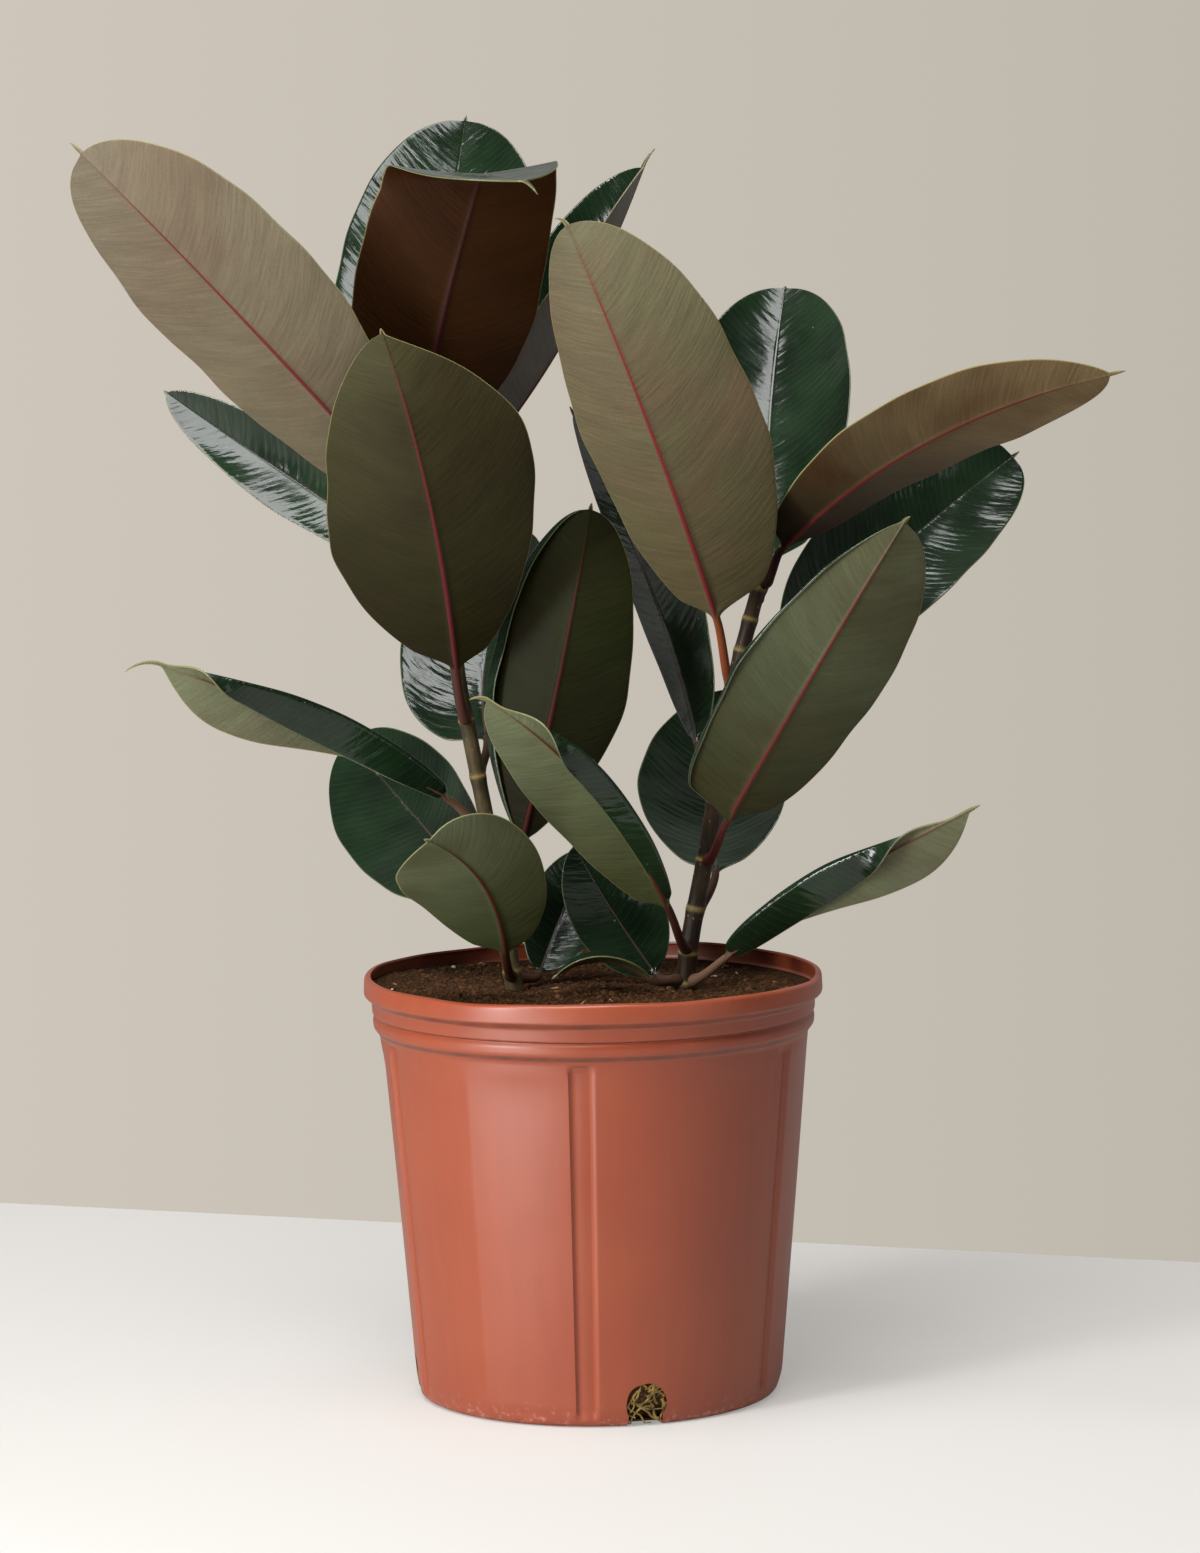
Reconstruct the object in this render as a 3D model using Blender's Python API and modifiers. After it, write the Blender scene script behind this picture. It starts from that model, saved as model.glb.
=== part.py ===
"""Potted rubber plant: a burgundy Ficus elastica with two stems in a thin moulded nursery pot.

Metres, +Z up. The origin is the middle of the pot's flat foot, and -Y is the side the plant faces.
Leaf shapes are given in millimetres, because that is how a leaf is measured.
"""

from dataclasses import dataclass
from math import cos, exp, log, pi, radians, sin

import bmesh
import bpy
import numpy as np
from mathutils import Matrix, Vector

MM = 0.001

# The pot, a number 3 nursery pot. Radii and heights of its outer face, from the lip to the foot.
WALL = 1.2 * MM
OUTER_FACE = [
    (131.0, 249.0),
    (134.4, 247.0),
    (135.0, 245.0),
    (135.0, 239.0),
    (130.5, 235.5),
    (130.0, 227.5),
    (128.6, 226.5),
    (129.6, 225.0),
    (129.4, 219.5),
    (126.0, 215.5),
]
BODY_TOP = (125.6, 213.0)
BODY_FLUTED = (125.3, 209.0)
BODY_FOOT = (108.8, 9.5)
FOOT_ROUNDING = [(107.7, 4.5), (104.0, 1.4), (98.0, 0.0)]

# Six upright flutes, as angles round the pot from the front, positive to the right.
FLUTES = [-68.5, -3.6, 61.5, 119.0, 176.5, 234.0]
FLUTE_DEPTH = 2.3 * MM
FLUTE_FLAT = 2.2
FLUTE_EDGE = 3.5
PANEL_STEPS = 5

# Four drain holes at the bottom edge.
HOLES = [14.8, 99.0, 190.0, 275.5]
HOLE_RADIUS = 12.2 * MM
HOLE_HEIGHT = 13.4 * MM
HOLE_SLOT = 20 * MM
HOLE_REACH = 106 * MM
HOLE_CUT = 30 * MM
SLOT_CUT = 14 * MM

# The potting mix, heaped towards the stems and the front.
GAP = 0.3 * MM
SOIL_GAP = 1.5 * MM
SOIL_LEVEL = 237 * MM
SOIL_MOUND = 2 * MM
SOIL_MOUND_WIDTH = 80 * MM
SOIL_FRONT_RISE = 3 * MM
SOIL_LEFT_RISE = 5 * MM
SOIL_LUMPS = 0.8 * MM
SOIL_EDGE = 6 * MM
SOIL_FLOOR_EDGE = 97.0
SOIL_FOOT = (103.0, 4.0)
SOIL_FOOT_FLUTE = 0.4
SOIL_WALL_TOP = 125.8
SOIL_RINGS = [126.0, 112.0, 90.0, 64.0, 34.0]

# The stems: points on the centre line, and the radius at the foot and at the top.
STEM_SIDES = 12
STEM_BURIED = 45 * MM
STEM_SLACK = 0.6
STEMS = {
    "stem_left": dict(
        points=[(-46, 2, 236), (-54, 1, 292), (-61, 0, 337), (-70, 0, 387), (-77, 0, 428), (-83, 4, 496)],
        foot=5.2,
        top=4.0,
        colour=(0.17, 0.11, 0.05),
    ),
    "stem_right": dict(
        points=[(53, 0, 236), (57, 0, 267), (65, 0, 308), (71, 0, 341), (85, 0, 420), (104, 2, 490)],
        foot=5.6,
        top=4.2,
        colour=(0.06, 0.03, 0.02),
    ),
}

# The leaves: thickness of the blade and of its midrib, radii of the petiole, and how many rings
# each is built from. A petiole leaves its stem by PETIOLE_LIFT and bends over PETIOLE_BEND of its length.
BLADE = 1.0 * MM
MIDRIB = 1.3 * MM
PETIOLE_FOOT = 2.4 * MM
PETIOLE_TOP = 1.9 * MM
STATIONS = 11
PETIOLE_STATIONS = 4
PETIOLE_LIFT = 0.6
PETIOLE_BEND = 0.35


@dataclass
class Leaf:
    """One leaf: blade, midrib and petiole, in millimetres and degrees.

    The midrib is the curve from base to tip that leans towards bend. faces is the way the glossy
    upper side looks. Pairs are (left, right) halves, seen from the upper side with the tip up.
    """

    name: str
    grows_from: tuple
    base: tuple
    bend: tuple
    tip: tuple
    faces: tuple
    half: tuple
    fold: tuple = (12, 12)
    curl: tuple = (10, 10)
    widest: tuple = (0.5, 0.5)
    fullness: tuple = (0.6, 0.6)
    twist: float = 0
    taper: tuple = (None, None)  # fullness between the widest place and the tip, where it differs
    rolled: tuple = (None, None)  # (degrees, from, to) across a half whose margin rolls under
    roll_fades: tuple = (1.0, 1.1)  # where along the leaf the rolled margin opens out again
    turned_down: tuple = None  # (degrees, along, radius, skew) of a tip that folds under
    drip: float = 8


LEAVES = [
    Leaf(
        "upper_left_long",
        (-84, -3, 463),
        (-101, -22, 528),
        (-189, -107, 638),
        (-282, -83, 731),
        (0.25, 0.9, 0.3),
        (54, 52),
        fold=(8, 8),
        curl=(10, 12),
        widest=(0.57, 0.56),
        fullness=(0.55, 0.36),
    ),
    Leaf(
        "top_left_glossy",
        (-84, 10, 492),
        (-93, 65, 550),
        (-87, 124, 646),
        (-71, 155, 747),
        (-0.15, -0.95, 0.2),
        (66, 68),
        curl=(-20, 24),
        fullness=(0.5, 0.5),
    ),
    Leaf(
        "top_brown",
        (-87, -1, 496),
        (-96, -14, 569),
        (-82, -53, 645),
        (-40, -38, 771),
        (-0.05, 0.95, 0.1),
        (52, 56),
        fold=(5, 5),
        curl=(6, 6),
        fullness=(0.42, 0.42),
        turned_down=(93, 0.72, 6, -22),
    ),
    Leaf(
        "upper_mid_narrow",
        (-77, 8, 492),
        (-64, 18, 550),
        (-3, 22, 619),
        (35, 28, 718),
        (-0.9, -0.3, 0.35),
        (42, 42),
        fold=(40, 40),
        curl=(14, 14),
        twist=30,
    ),
    Leaf(
        "front_left_big",
        (-73, -6, 399),
        (-77, -25, 430),
        (-83, -113, 535),
        (-114, -97, 628),
        (0, 0.95, 0.2),
        (65, 66),
        fold=(10, 10),
        curl=(16, 18),
        widest=(0.58, 0.36),
        fullness=(0.5, 1.2),
        taper=(1.15, 0.52),
    ),
    Leaf(
        "center_big",
        (82, -6, 415),
        (74, -32, 459),
        (39, -116, 575),
        (-9, -80, 687),
        (0.12, 0.95, 0.15),
        (63, 44),
        fold=(10, 14),
        curl=(14, 14),
        widest=(0.46, 0.5),
        fullness=(0.5, 0.5),
    ),
    Leaf(
        "right_dark",
        (99, 8, 466),
        (106, 30, 485),
        (105, 78, 568),
        (121, 134, 644),
        (-0.18, -0.81, 0.55),
        (50, 56),
        fold=(10, 10),
        curl=(26, 26),
        fullness=(0.5, 0.5),
    ),
    Leaf(
        "right_long_brown",
        (105, -3, 476),
        (113, -13, 498),
        (182, -116, 576),
        (295, -106, 600),
        (-0.3, 0.75, 0.6),
        (46, 36),
        fullness=(0.5, 0.5),
        taper=(0.45, 0.8),
    ),
    Leaf(
        "behind_stem_left",
        (-65, 6, 367),
        (-61, 25, 385),
        (-72, 92, 426),
        (-38, 110, 502),
        (-0.39, -0.71, 0.59),
        (53, 46),
        fold=(8, 8),
        curl=(22, 22),
        fullness=(0.5, 0.5),
    ),
    Leaf(
        "center_dark",
        (-51, -4, 302),
        (-41, -12, 326),
        (-17, -34, 419),
        (2, -18, 522),
        (0.1, 0.95, 0.1),
        (42, 52),
        fold=(14, 14),
        curl=(10, 4),
        fullness=(1.05, 1.0),
        taper=(0.5, 0.5),
        rolled=(None, (-160, 0.78, 0.88)),
    ),
    Leaf(
        "center_right_narrow",
        (70, 6, 349),
        (63, 25, 381),
        (47, 65, 462),
        (-7, 57, 573),
        (-0.23, -0.97, 0.08),
        (24, 40),
        fold=(-50, 30),
        curl=(8, 14),
    ),
    Leaf(
        "diagonal_front",
        (54, -6, 262),
        (44, -35, 291),
        (7, -95, 378),
        (-58, -88, 419),
        (0.05, 0.95, 0.3),
        (30, 36),
        fold=(8, 8),
        curl=(4, 10),
        fullness=(0.5, 0.5),
        taper=(2.2, 0.5),
        rolled=((-190, 0.36, 0.56), None),
        roll_fades=(0.55, 0.95),
    ),
    Leaf(
        "low_left_round",
        (-49, -5, 247),
        (-51, -28, 265),
        (-54, -78, 321),
        (-92, -116, 342),
        (-0.05, 0.8, 0.4),
        (37, 47),
        fold=(8, 8),
        curl=(14, 14),
        widest=(0.55, 0.55),
        fullness=(0.42, 0.42),
    ),
    Leaf(
        "left_low_long",
        (-67, -3, 336),
        (-82, -12, 353),
        (-155, -68, 406),
        (-245, -68, 440),
        (-0.1, 0.9, 0.1),
        (38, 25),
        fold=(5, 5),
        curl=(0, 10),
        widest=(0.45, 0.74),
        fullness=(0.6, 1.1),
        taper=(1.5, 1.1),
        rolled=((-190, 0.3, 0.5), None),
        roll_fades=(0.72, 1.0),
    ),
    Leaf(
        "right_front",
        (69, -6, 314),
        (79, -30, 341),
        (130, -120, 442),
        (179, -102, 518),
        (-0.1, 0.95, 0.15),
        (48, 43),
        fold=(14, 10),
        curl=(14, 4),
        widest=(0.5, 0.37),
        fullness=(0.42, 0.34),
        taper=(0.42, 0.85),
        rolled=(None, (-150, 0.9, 0.97)),
    ),
    Leaf(
        "left_mid_dark",
        (-56, 7, 283),
        (-69, 30, 294),
        (-106, 110, 330),
        (-148, 158, 370),
        (-0.47, -0.65, 0.6),
        (46, 40),
        curl=(-18, 20),
        fullness=(0.55, 0.55),
    ),
    Leaf(
        "left_upper_small",
        (-81, 7, 445),
        (-93, 30, 485),
        (-172, 87, 532),
        (-251, 106, 587),
        (-0.33, -0.93, 0.18),
        (26, 24),
        fold=(35, 15),
    ),
    Leaf(
        "behind_right_stem",
        (63, 6, 284),
        (73, 30, 303),
        (75, 110, 337),
        (89, 158, 399),
        (-0.05, -0.6, 0.8),
        (50, 48),
        fold=(8, 8),
        curl=(12, 24),
    ),
    Leaf(
        "right_low",
        (59, -4, 243),
        (77, -15, 258),
        (138, -48, 308),
        (217, -70, 350),
        (0.1, 0.9, 0.2),
        (25, 38),
        fold=(5, 5),
        curl=(10, 0),
        widest=(0.72, 0.42),
        fullness=(1, 0.6),
        taper=(1, 2.4),
        rolled=(None, (-190, 0.3, 0.5)),
        roll_fades=(0.55, 0.95),
    ),
    Leaf(
        "low_center_right",
        (49, 5, 243),
        (37, 16, 245),
        (11, 26, 279),
        (-10, 14, 322),
        (-0.06, -1.0, -0.06),
        (26, 34),
        fold=(16, 16),
    ),
    Leaf(
        "low_center_left",
        (-43, 7, 245),
        (-32, 18, 246),
        (-19, 46, 280),
        (-1, 56, 314),
        (0, -0.95, 0.3),
        (22, 28),
        fold=(16, 16),
    ),
    Leaf(
        "right_back",
        (89, 7, 418),
        (122, 42, 430),
        (172, 120, 480),
        (260, 168, 539),
        (0.25, -0.8, 0.5),
        (44, 44),
        fold=(8, 8),
        curl=(26, 26),
        fullness=(0.42, 0.42),
    ),
    Leaf(
        "low_flat",
        (49, -4, 244),
        (33, -16, 247),
        (4, -24, 269),
        (-21, -24, 251),
        (0, -0.1, 0.95),
        (15, 15),
        fold=(10, 10),
    ),
]


def unit(vector):
    vector = np.array(vector, float)
    return vector / np.linalg.norm(vector)


def turned(vector, axis, angle):
    """The vector turned by angle about a unit axis."""
    return (
        vector * cos(angle)
        + np.cross(axis, vector) * sin(angle)
        + axis * np.dot(axis, vector) * (1 - cos(angle))
    )


def spread(leaf, index, u):
    """The outline of a half: how wide it is at u, from 0 at the base to 1 at the tip."""
    t = u ** (log(0.5) / log(leaf.widest[index]))
    beyond = leaf.taper[index] or leaf.fullness[index]
    return max(0.0, 4 * t * (1 - t)) ** (leaf.fullness[index] if t < 0.5 else beyond)


def still_rolled(leaf, u):
    """1 where a rolled margin is rolled in full, down to 0 where it has opened out."""
    start, end = leaf.roll_fades
    share = min(1.0, max(0.0, (u - start) / (end - start)))
    return 1 - share * share * (3 - 2 * share)


def midrib_frame(leaf, u):
    """(place, along, up, side) of the midrib at u."""
    base, bend, tip = (np.array(point, float) * MM for point in (leaf.base, leaf.bend, leaf.tip))
    place = (1 - u) ** 2 * base + 2 * u * (1 - u) * bend + u * u * tip
    along = unit((1 - u) * (bend - base) + u * (tip - bend))
    faces = unit(leaf.faces)
    up = unit(faces - np.dot(faces, along) * along)
    up = turned(up, along, radians(leaf.twist) * (u - 0.5))
    return place, along, up, np.cross(along, up)


def fold_under(leaf, point):
    """The point after the blade is bent round a rod that lies across it."""
    degrees, start, radius, skew = leaf.turned_down
    place, along, up, side = midrib_frame(leaf, start)
    onward = turned(along, up, radians(skew))
    across = turned(side, up, radians(skew))
    radius = radius * MM
    offset = point - place
    reach = offset @ onward
    if reach <= 0:
        return point
    height = offset @ up
    angle = min(reach / radius, radians(degrees))
    beyond = reach - radius * angle
    return (
        place
        + across * (offset @ across)
        + (radius + height) * (sin(angle) * onward + cos(angle) * up)
        - radius * up
        + beyond * (cos(angle) * onward - sin(angle) * up)
    )


def across_stations(rolled):
    """Where a half of the blade has points, from the midrib (0) to the margin (1)."""
    if rolled is None:
        return [1 / 3, 2 / 3, 1]
    _, start, end = rolled
    width = (end - start) / 3
    return [start, start + width, start + 2 * width, end, 1]


def half_section(leaf, index, u):
    """(distance out, rise, slope) of each point across one half at u."""
    half_width = leaf.half[index] * MM
    width = half_width * spread(leaf, index, u)
    stations = across_stations(leaf.rolled[index])
    out = rise = done = 0.0
    points = []
    for station in stations:
        pieces = 8
        for piece in range(pieces):
            share = done + (station - done) * (piece + 0.5) / pieces
            slope = radians(leaf.fold[index]) + radians(leaf.curl[index]) * share * width / half_width
            if leaf.rolled[index]:
                degrees, start, end = leaf.rolled[index]
                turning = min(1.0, max(0.0, (share - start) / (end - start)))
                slope += radians(degrees) * still_rolled(leaf, u) * turning
            step = width * (station - done) / pieces
            out += cos(slope) * step
            rise += sin(slope) * step
        done = station
        points.append((out, rise, slope))
    return points


def blade_ring(leaf, u):
    """The closed ring of points round the blade at u: over the upper side, and back underneath."""
    place, along, up, side = midrib_frame(leaf, u)
    left = half_section(leaf, 0, u)
    right = half_section(leaf, 1, u)
    row = [(-out, rise, -slope) for out, rise, slope in reversed(left)]
    row.append((0.0, 0.0, 0.0))
    row.extend(right)
    middle = len(left)
    upper = []
    under = []
    for index, (out, rise, slope) in enumerate(row):
        point = place + side * out + up * rise
        normal = up * cos(slope) - side * sin(slope)
        at_margin = index in (0, len(row) - 1)
        upper.append(point + normal * (0 if at_margin else BLADE / 2))
        if not at_margin:
            depth = BLADE / 2 + (MIDRIB * (1 - 0.7 * u) if index == middle else 0)
            under.append(point - normal * depth)
    ring = upper + under[::-1]
    if leaf.turned_down:
        ring = [fold_under(leaf, point) for point in ring]
    return ring, len(upper)


def round_ring(centre, up, side, radius, upper_count, count):
    """A circle whose points pair with those of a blade ring."""
    under_count = count - upper_count + 1
    angles = [pi - pi * index / (upper_count - 1) for index in range(upper_count)]
    angles += [-pi * index / under_count for index in range(1, under_count)]
    return [centre + (side * cos(angle) + up * sin(angle)) * radius for angle in angles]


def petiole_rings(leaf, upper_count, count):
    """Rings from the stem to the base of the blade."""
    start = np.array(leaf.grows_from, float) * MM
    end, along, up, _ = midrib_frame(leaf, 0.0)
    reach = np.linalg.norm(end - start)
    level = np.array((end[0] - start[0], end[1] - start[1], 0.0)) / reach
    leaves_stem = unit(unit(end - start) * PETIOLE_LIFT + level)
    control = start + leaves_stem * reach * PETIOLE_BEND
    arrives = end - along * reach * PETIOLE_BEND
    rings = []
    for index in range(PETIOLE_STATIONS):
        t = index / PETIOLE_STATIONS
        centre = (
            (1 - t) ** 3 * start
            + 3 * t * (1 - t) ** 2 * control
            + 3 * t * t * (1 - t) * arrives
            + t**3 * end
        )
        heading = unit(
            (1 - t) ** 2 * (control - start)
            + 2 * t * (1 - t) * (arrives - control)
            + t * t * (end - arrives)
        )
        flat_up = unit(up - np.dot(up, heading) * heading)
        radius = PETIOLE_FOOT + (PETIOLE_TOP - PETIOLE_FOOT) * t
        rings.append(round_ring(centre, flat_up, np.cross(heading, flat_up), radius, upper_count, count))
    return rings


def drip_tip_ring(leaf, upper_count, count):
    """The last small ring, at the end of the thin drip tip."""
    place, along, up, side = midrib_frame(leaf, 1.0)
    centre = place + along * leaf.drip * MM
    ring = round_ring(centre, up, side, 0.4 * MM, upper_count, count)
    if leaf.turned_down:
        ring = [fold_under(leaf, point) for point in ring]
    return ring


def along_stations(leaf):
    """Places of the blade's rings, closer together at both ends and where the blade folds."""
    stations = [(1 - cos(pi * (index + 0.35) / (STATIONS - 0.3))) / 2 for index in range(STATIONS)]
    if leaf.turned_down:
        fold = leaf.turned_down[1]
        stations = [u for u in stations if abs(u - fold - 0.02) > 0.12]
        stations += [fold - 0.12 + 0.28 * index / 11 for index in range(12)]
    return sorted(stations)


def mesh_from_rings(name, rings):
    """One closed solid through rings of equal length, capped at both ends."""
    count = len(rings[0])
    model = bmesh.new()
    rows = [[model.verts.new(Vector(point)) for point in ring] for ring in rings]
    for lower, upper in zip(rows, rows[1:]):
        for index in range(count):
            after = (index + 1) % count
            model.faces.new((lower[index], lower[after], upper[after], upper[index]))
    model.faces.new(rows[0][::-1])
    model.faces.new(rows[-1])
    bmesh.ops.recalc_face_normals(model, faces=model.faces)
    mesh = bpy.data.meshes.new(name)
    model.to_mesh(mesh)
    model.free()
    mesh.shade_smooth()
    mesh.set_sharp_from_angle(angle=radians(50))
    return mesh


def make_material(name, colour, roughness):
    material = bpy.data.materials.new(name)
    material.use_nodes = True
    shader = material.node_tree.nodes["Principled BSDF"]
    shader.inputs["Base Color"].default_value = (*colour, 1)
    shader.inputs["Roughness"].default_value = roughness
    shader.inputs["Metallic"].default_value = 0
    return material


def add_part(collection, name, data, colour, roughness):
    part = bpy.data.objects.new(name, data)
    data.materials.append(make_material(name, colour, roughness))
    collection.objects.link(part)
    return part


def on_pot(radius, degrees, height):
    """A point at this radius, this many degrees round from the front."""
    angle = radians(degrees)
    return Vector((radius * sin(angle), -radius * cos(angle), height))


def pot_angles():
    """Degrees of the mesh's columns: at each flute's edges and flat, and evenly between flutes."""
    angles = []
    for index, flute in enumerate(FLUTES):
        following = FLUTES[(index + 1) % len(FLUTES)] + (360 if index + 1 == len(FLUTES) else 0)
        angles += [flute - FLUTE_EDGE, flute - FLUTE_FLAT, flute + FLUTE_FLAT, flute + FLUTE_EDGE]
        first = flute + FLUTE_EDGE
        gap = (following - FLUTE_EDGE - first) / PANEL_STEPS
        angles += [first + gap * step for step in range(1, PANEL_STEPS)]
    return angles


def in_flute(degrees):
    """1 on the flat of a flute and 0 on its edge or beyond."""
    for flute in FLUTES:
        away = abs((degrees - flute + 180) % 360 - 180)
        if away < FLUTE_EDGE - 0.01:
            return 1.0
    return 0.0


def turned_grid(profile, inset):
    """Columns round the pot through a profile of (radius, height, flute share), set in by inset."""
    angles = pot_angles()
    model = bmesh.new()
    rows = []
    for radius, height, share in profile:
        if radius == 0:
            rows.append([model.verts.new((0, 0, height))])
            continue
        row = []
        for degrees in angles:
            reach = radius - inset - FLUTE_DEPTH * share * in_flute(degrees)
            row.append(model.verts.new(on_pot(reach, degrees, height)))
        rows.append(row)
    count = len(angles)
    for upper, lower in zip(rows, rows[1:]):
        for index in range(count):
            after = (index + 1) % count
            if len(lower) == 1:
                model.faces.new((upper[index], lower[0], upper[after]))
            elif len(upper) == 1:
                model.faces.new((upper[0], lower[index], lower[after]))
            else:
                model.faces.new((upper[index], lower[index], lower[after], upper[after]))
    return model


def finish_mesh(name, model):
    bmesh.ops.recalc_face_normals(model, faces=model.faces)
    mesh = bpy.data.meshes.new(name)
    model.to_mesh(mesh)
    model.free()
    mesh.shade_smooth()
    mesh.set_sharp_from_angle(angle=radians(30))
    return mesh


def outer_profile():
    """The pot's outer face from the lip to the middle of the foot."""
    profile = [(radius * MM, height * MM, 0.0) for radius, height in OUTER_FACE]
    profile.append((BODY_TOP[0] * MM, BODY_TOP[1] * MM, 0.0))
    profile.append((BODY_FLUTED[0] * MM, BODY_FLUTED[1] * MM, 1.0))
    profile.append((BODY_FOOT[0] * MM, BODY_FOOT[1] * MM, 1.0))
    shares = [0.9, 0.4, 0.0]
    profile += [(radius * MM, height * MM, share) for (radius, height), share in zip(FOOT_ROUNDING, shares)]
    profile.append((0, 0, 0.0))
    return profile


def make_pot(collection, cutters):
    """The moulded shell: its outer face thickened inwards, with keyhole drain holes cut at the foot."""
    mesh = finish_mesh("nursery_pot", turned_grid(outer_profile(), 0))
    pot = add_part(collection, "nursery_pot", mesh, (0.46, 0.13, 0.075), 0.42)
    wall = pot.modifiers.new("wall", "SOLIDIFY")
    wall.thickness = WALL
    wall.offset = -1
    wall.use_even_offset = True
    for number, degrees in enumerate(HOLES, 1):
        model = bmesh.new()
        bmesh.ops.create_cone(
            model,
            cap_ends=True,
            segments=20,
            radius1=HOLE_RADIUS,
            radius2=HOLE_RADIUS,
            depth=HOLE_CUT,
        )
        bmesh.ops.rotate(model, verts=model.verts, cent=(0, 0, 0), matrix=rotation_x(90))
        bmesh.ops.translate(model, verts=model.verts, vec=(0, -HOLE_REACH, HOLE_HEIGHT))
        bmesh.ops.rotate(model, verts=model.verts, cent=(0, 0, 0), matrix=rotation_z(degrees))
        cut_from(pot, f"drain_hole_{number}", model, cutters)
        model = bmesh.new()
        bmesh.ops.create_cube(model, size=1)
        bmesh.ops.scale(model, verts=model.verts, vec=(HOLE_SLOT, SLOT_CUT, HOLE_HEIGHT + 2 * MM))
        place = (0, -HOLE_REACH, HOLE_HEIGHT / 2 - 1 * MM)
        bmesh.ops.translate(model, verts=model.verts, vec=place)
        bmesh.ops.rotate(model, verts=model.verts, cent=(0, 0, 0), matrix=rotation_z(degrees))
        cut_from(pot, f"drain_slot_{number}", model, cutters)
    return pot


def rotation_x(degrees):
    return Matrix.Rotation(radians(degrees), 3, "X")


def rotation_z(degrees):
    return Matrix.Rotation(radians(degrees), 3, "Z")


def cut_from(part, name, model, cutters):
    """Cuts the bmesh's shape from the part with an exact Boolean."""
    mesh = bpy.data.meshes.new(name)
    bmesh.ops.recalc_face_normals(model, faces=model.faces)
    model.to_mesh(mesh)
    model.free()
    cutter = bpy.data.objects.new(name, mesh)
    cutter.hide_render = True
    cutter.display_type = "WIRE"
    cutters.objects.link(cutter)
    cut = part.modifiers.new(name, "BOOLEAN")
    cut.operation = "DIFFERENCE"
    cut.solver = "EXACT"
    cut.object = cutter


def soil_height(x, y):
    """Height of the potting mix, with a few broad lumps."""
    rim = 128 * MM
    height = SOIL_LEVEL + SOIL_MOUND * exp(-(x * x + y * y) / SOIL_MOUND_WIDTH**2)
    height += SOIL_FRONT_RISE * max(0.0, -y / rim) ** 2 + SOIL_LEFT_RISE * max(0.0, -x / rim) ** 2
    return height + SOIL_LUMPS * sin(x / (14 * MM) + 1) * cos(y / (17 * MM))


def make_soil(collection, cutters):
    """The root ball and mix: it fills the pot with a small gap, and the stems run down into it."""
    inset = WALL + SOIL_GAP
    floor = WALL + GAP
    wall_top = SOIL_LEVEL - SOIL_EDGE
    profile = [
        (0, floor, 0.0),
        (SOIL_FLOOR_EDGE * MM, floor, 0.0),
        (SOIL_FOOT[0] * MM, SOIL_FOOT[1] * MM, SOIL_FOOT_FLUTE),
        (BODY_FOOT[0] * MM, BODY_FOOT[1] * MM, 1.0),
        (BODY_FLUTED[0] * MM, BODY_FLUTED[1] * MM, 1.0),
        (BODY_TOP[0] * MM, BODY_TOP[1] * MM, 0.0),
        (SOIL_WALL_TOP * MM, wall_top, 0.0),
    ]
    profile += [(radius * MM, SOIL_LEVEL, 0.0) for radius in SOIL_RINGS]
    profile.append((0, SOIL_LEVEL, 0.0))
    model = turned_grid(profile, inset)
    for vertex in model.verts:
        if vertex.co.z > wall_top + 1 * MM:
            vertex.co.z = soil_height(vertex.co.x, vertex.co.y)
    mesh = finish_mesh("potting_soil", model)
    soil = add_part(collection, "potting_soil", mesh, (0.05, 0.025, 0.012), 0.95)
    for name, stem in STEMS.items():
        foot = Vector(stem["points"][0]) * MM
        heading = (Vector(stem["points"][1]) * MM - foot).normalized()
        model = bmesh.new()
        radius = (stem["foot"] + STEM_SLACK) * MM
        bmesh.ops.create_cone(
            model, cap_ends=True, segments=20, radius1=radius, radius2=radius, depth=STEM_BURIED * 2
        )
        turn = heading.to_track_quat("Z", "Y").to_matrix()
        bmesh.ops.rotate(model, verts=model.verts, cent=(0, 0, 0), matrix=turn)
        bmesh.ops.translate(model, verts=model.verts, vec=foot - heading * GAP)
        cut_from(soil, f"hole_for_{name}", model, cutters)
    return soil


def smooth_points(points, steps):
    """Points on a Catmull-Rom curve through the given ones."""
    knots = [np.array(point, float) for point in points]
    knots = [2 * knots[0] - knots[1], *knots, 2 * knots[-1] - knots[-2]]
    curve = []
    for before, first, second, after in zip(knots, knots[1:], knots[2:], knots[3:]):
        for step in range(steps):
            t = step / steps
            curve.append(
                0.5
                * (
                    2 * first
                    + (second - before) * t
                    + (2 * before - 5 * first + 4 * second - after) * t * t
                    + (3 * first - before - 3 * second + after) * t**3
                )
            )
    curve.append(knots[-2])
    return curve


def make_stem(collection, name, stem):
    """A tapering tube from inside the mix to the growing tip."""
    foot = np.array(stem["points"][0], float)
    heading = unit(np.array(stem["points"][1], float) - foot)
    buried = foot - heading * (STEM_BURIED / MM - 1)
    route = [buried, *smooth_points(stem["points"], 3)]
    curve = bpy.data.curves.new(name, "CURVE")
    curve.dimensions = "3D"
    curve.bevel_depth = 1 * MM
    curve.bevel_resolution = (STEM_SIDES - 4) // 2
    curve.use_fill_caps = True
    spline = curve.splines.new("POLY")
    spline.points.add(len(route) - 1)
    for index, (point, place) in enumerate(zip(spline.points, route)):
        share = index / (len(route) - 1)
        point.co = (*(place * MM), 1)
        point.radius = stem["foot"] + (stem["top"] - stem["foot"]) * share
    return add_part(collection, name, curve, stem["colour"], 0.6)


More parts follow.
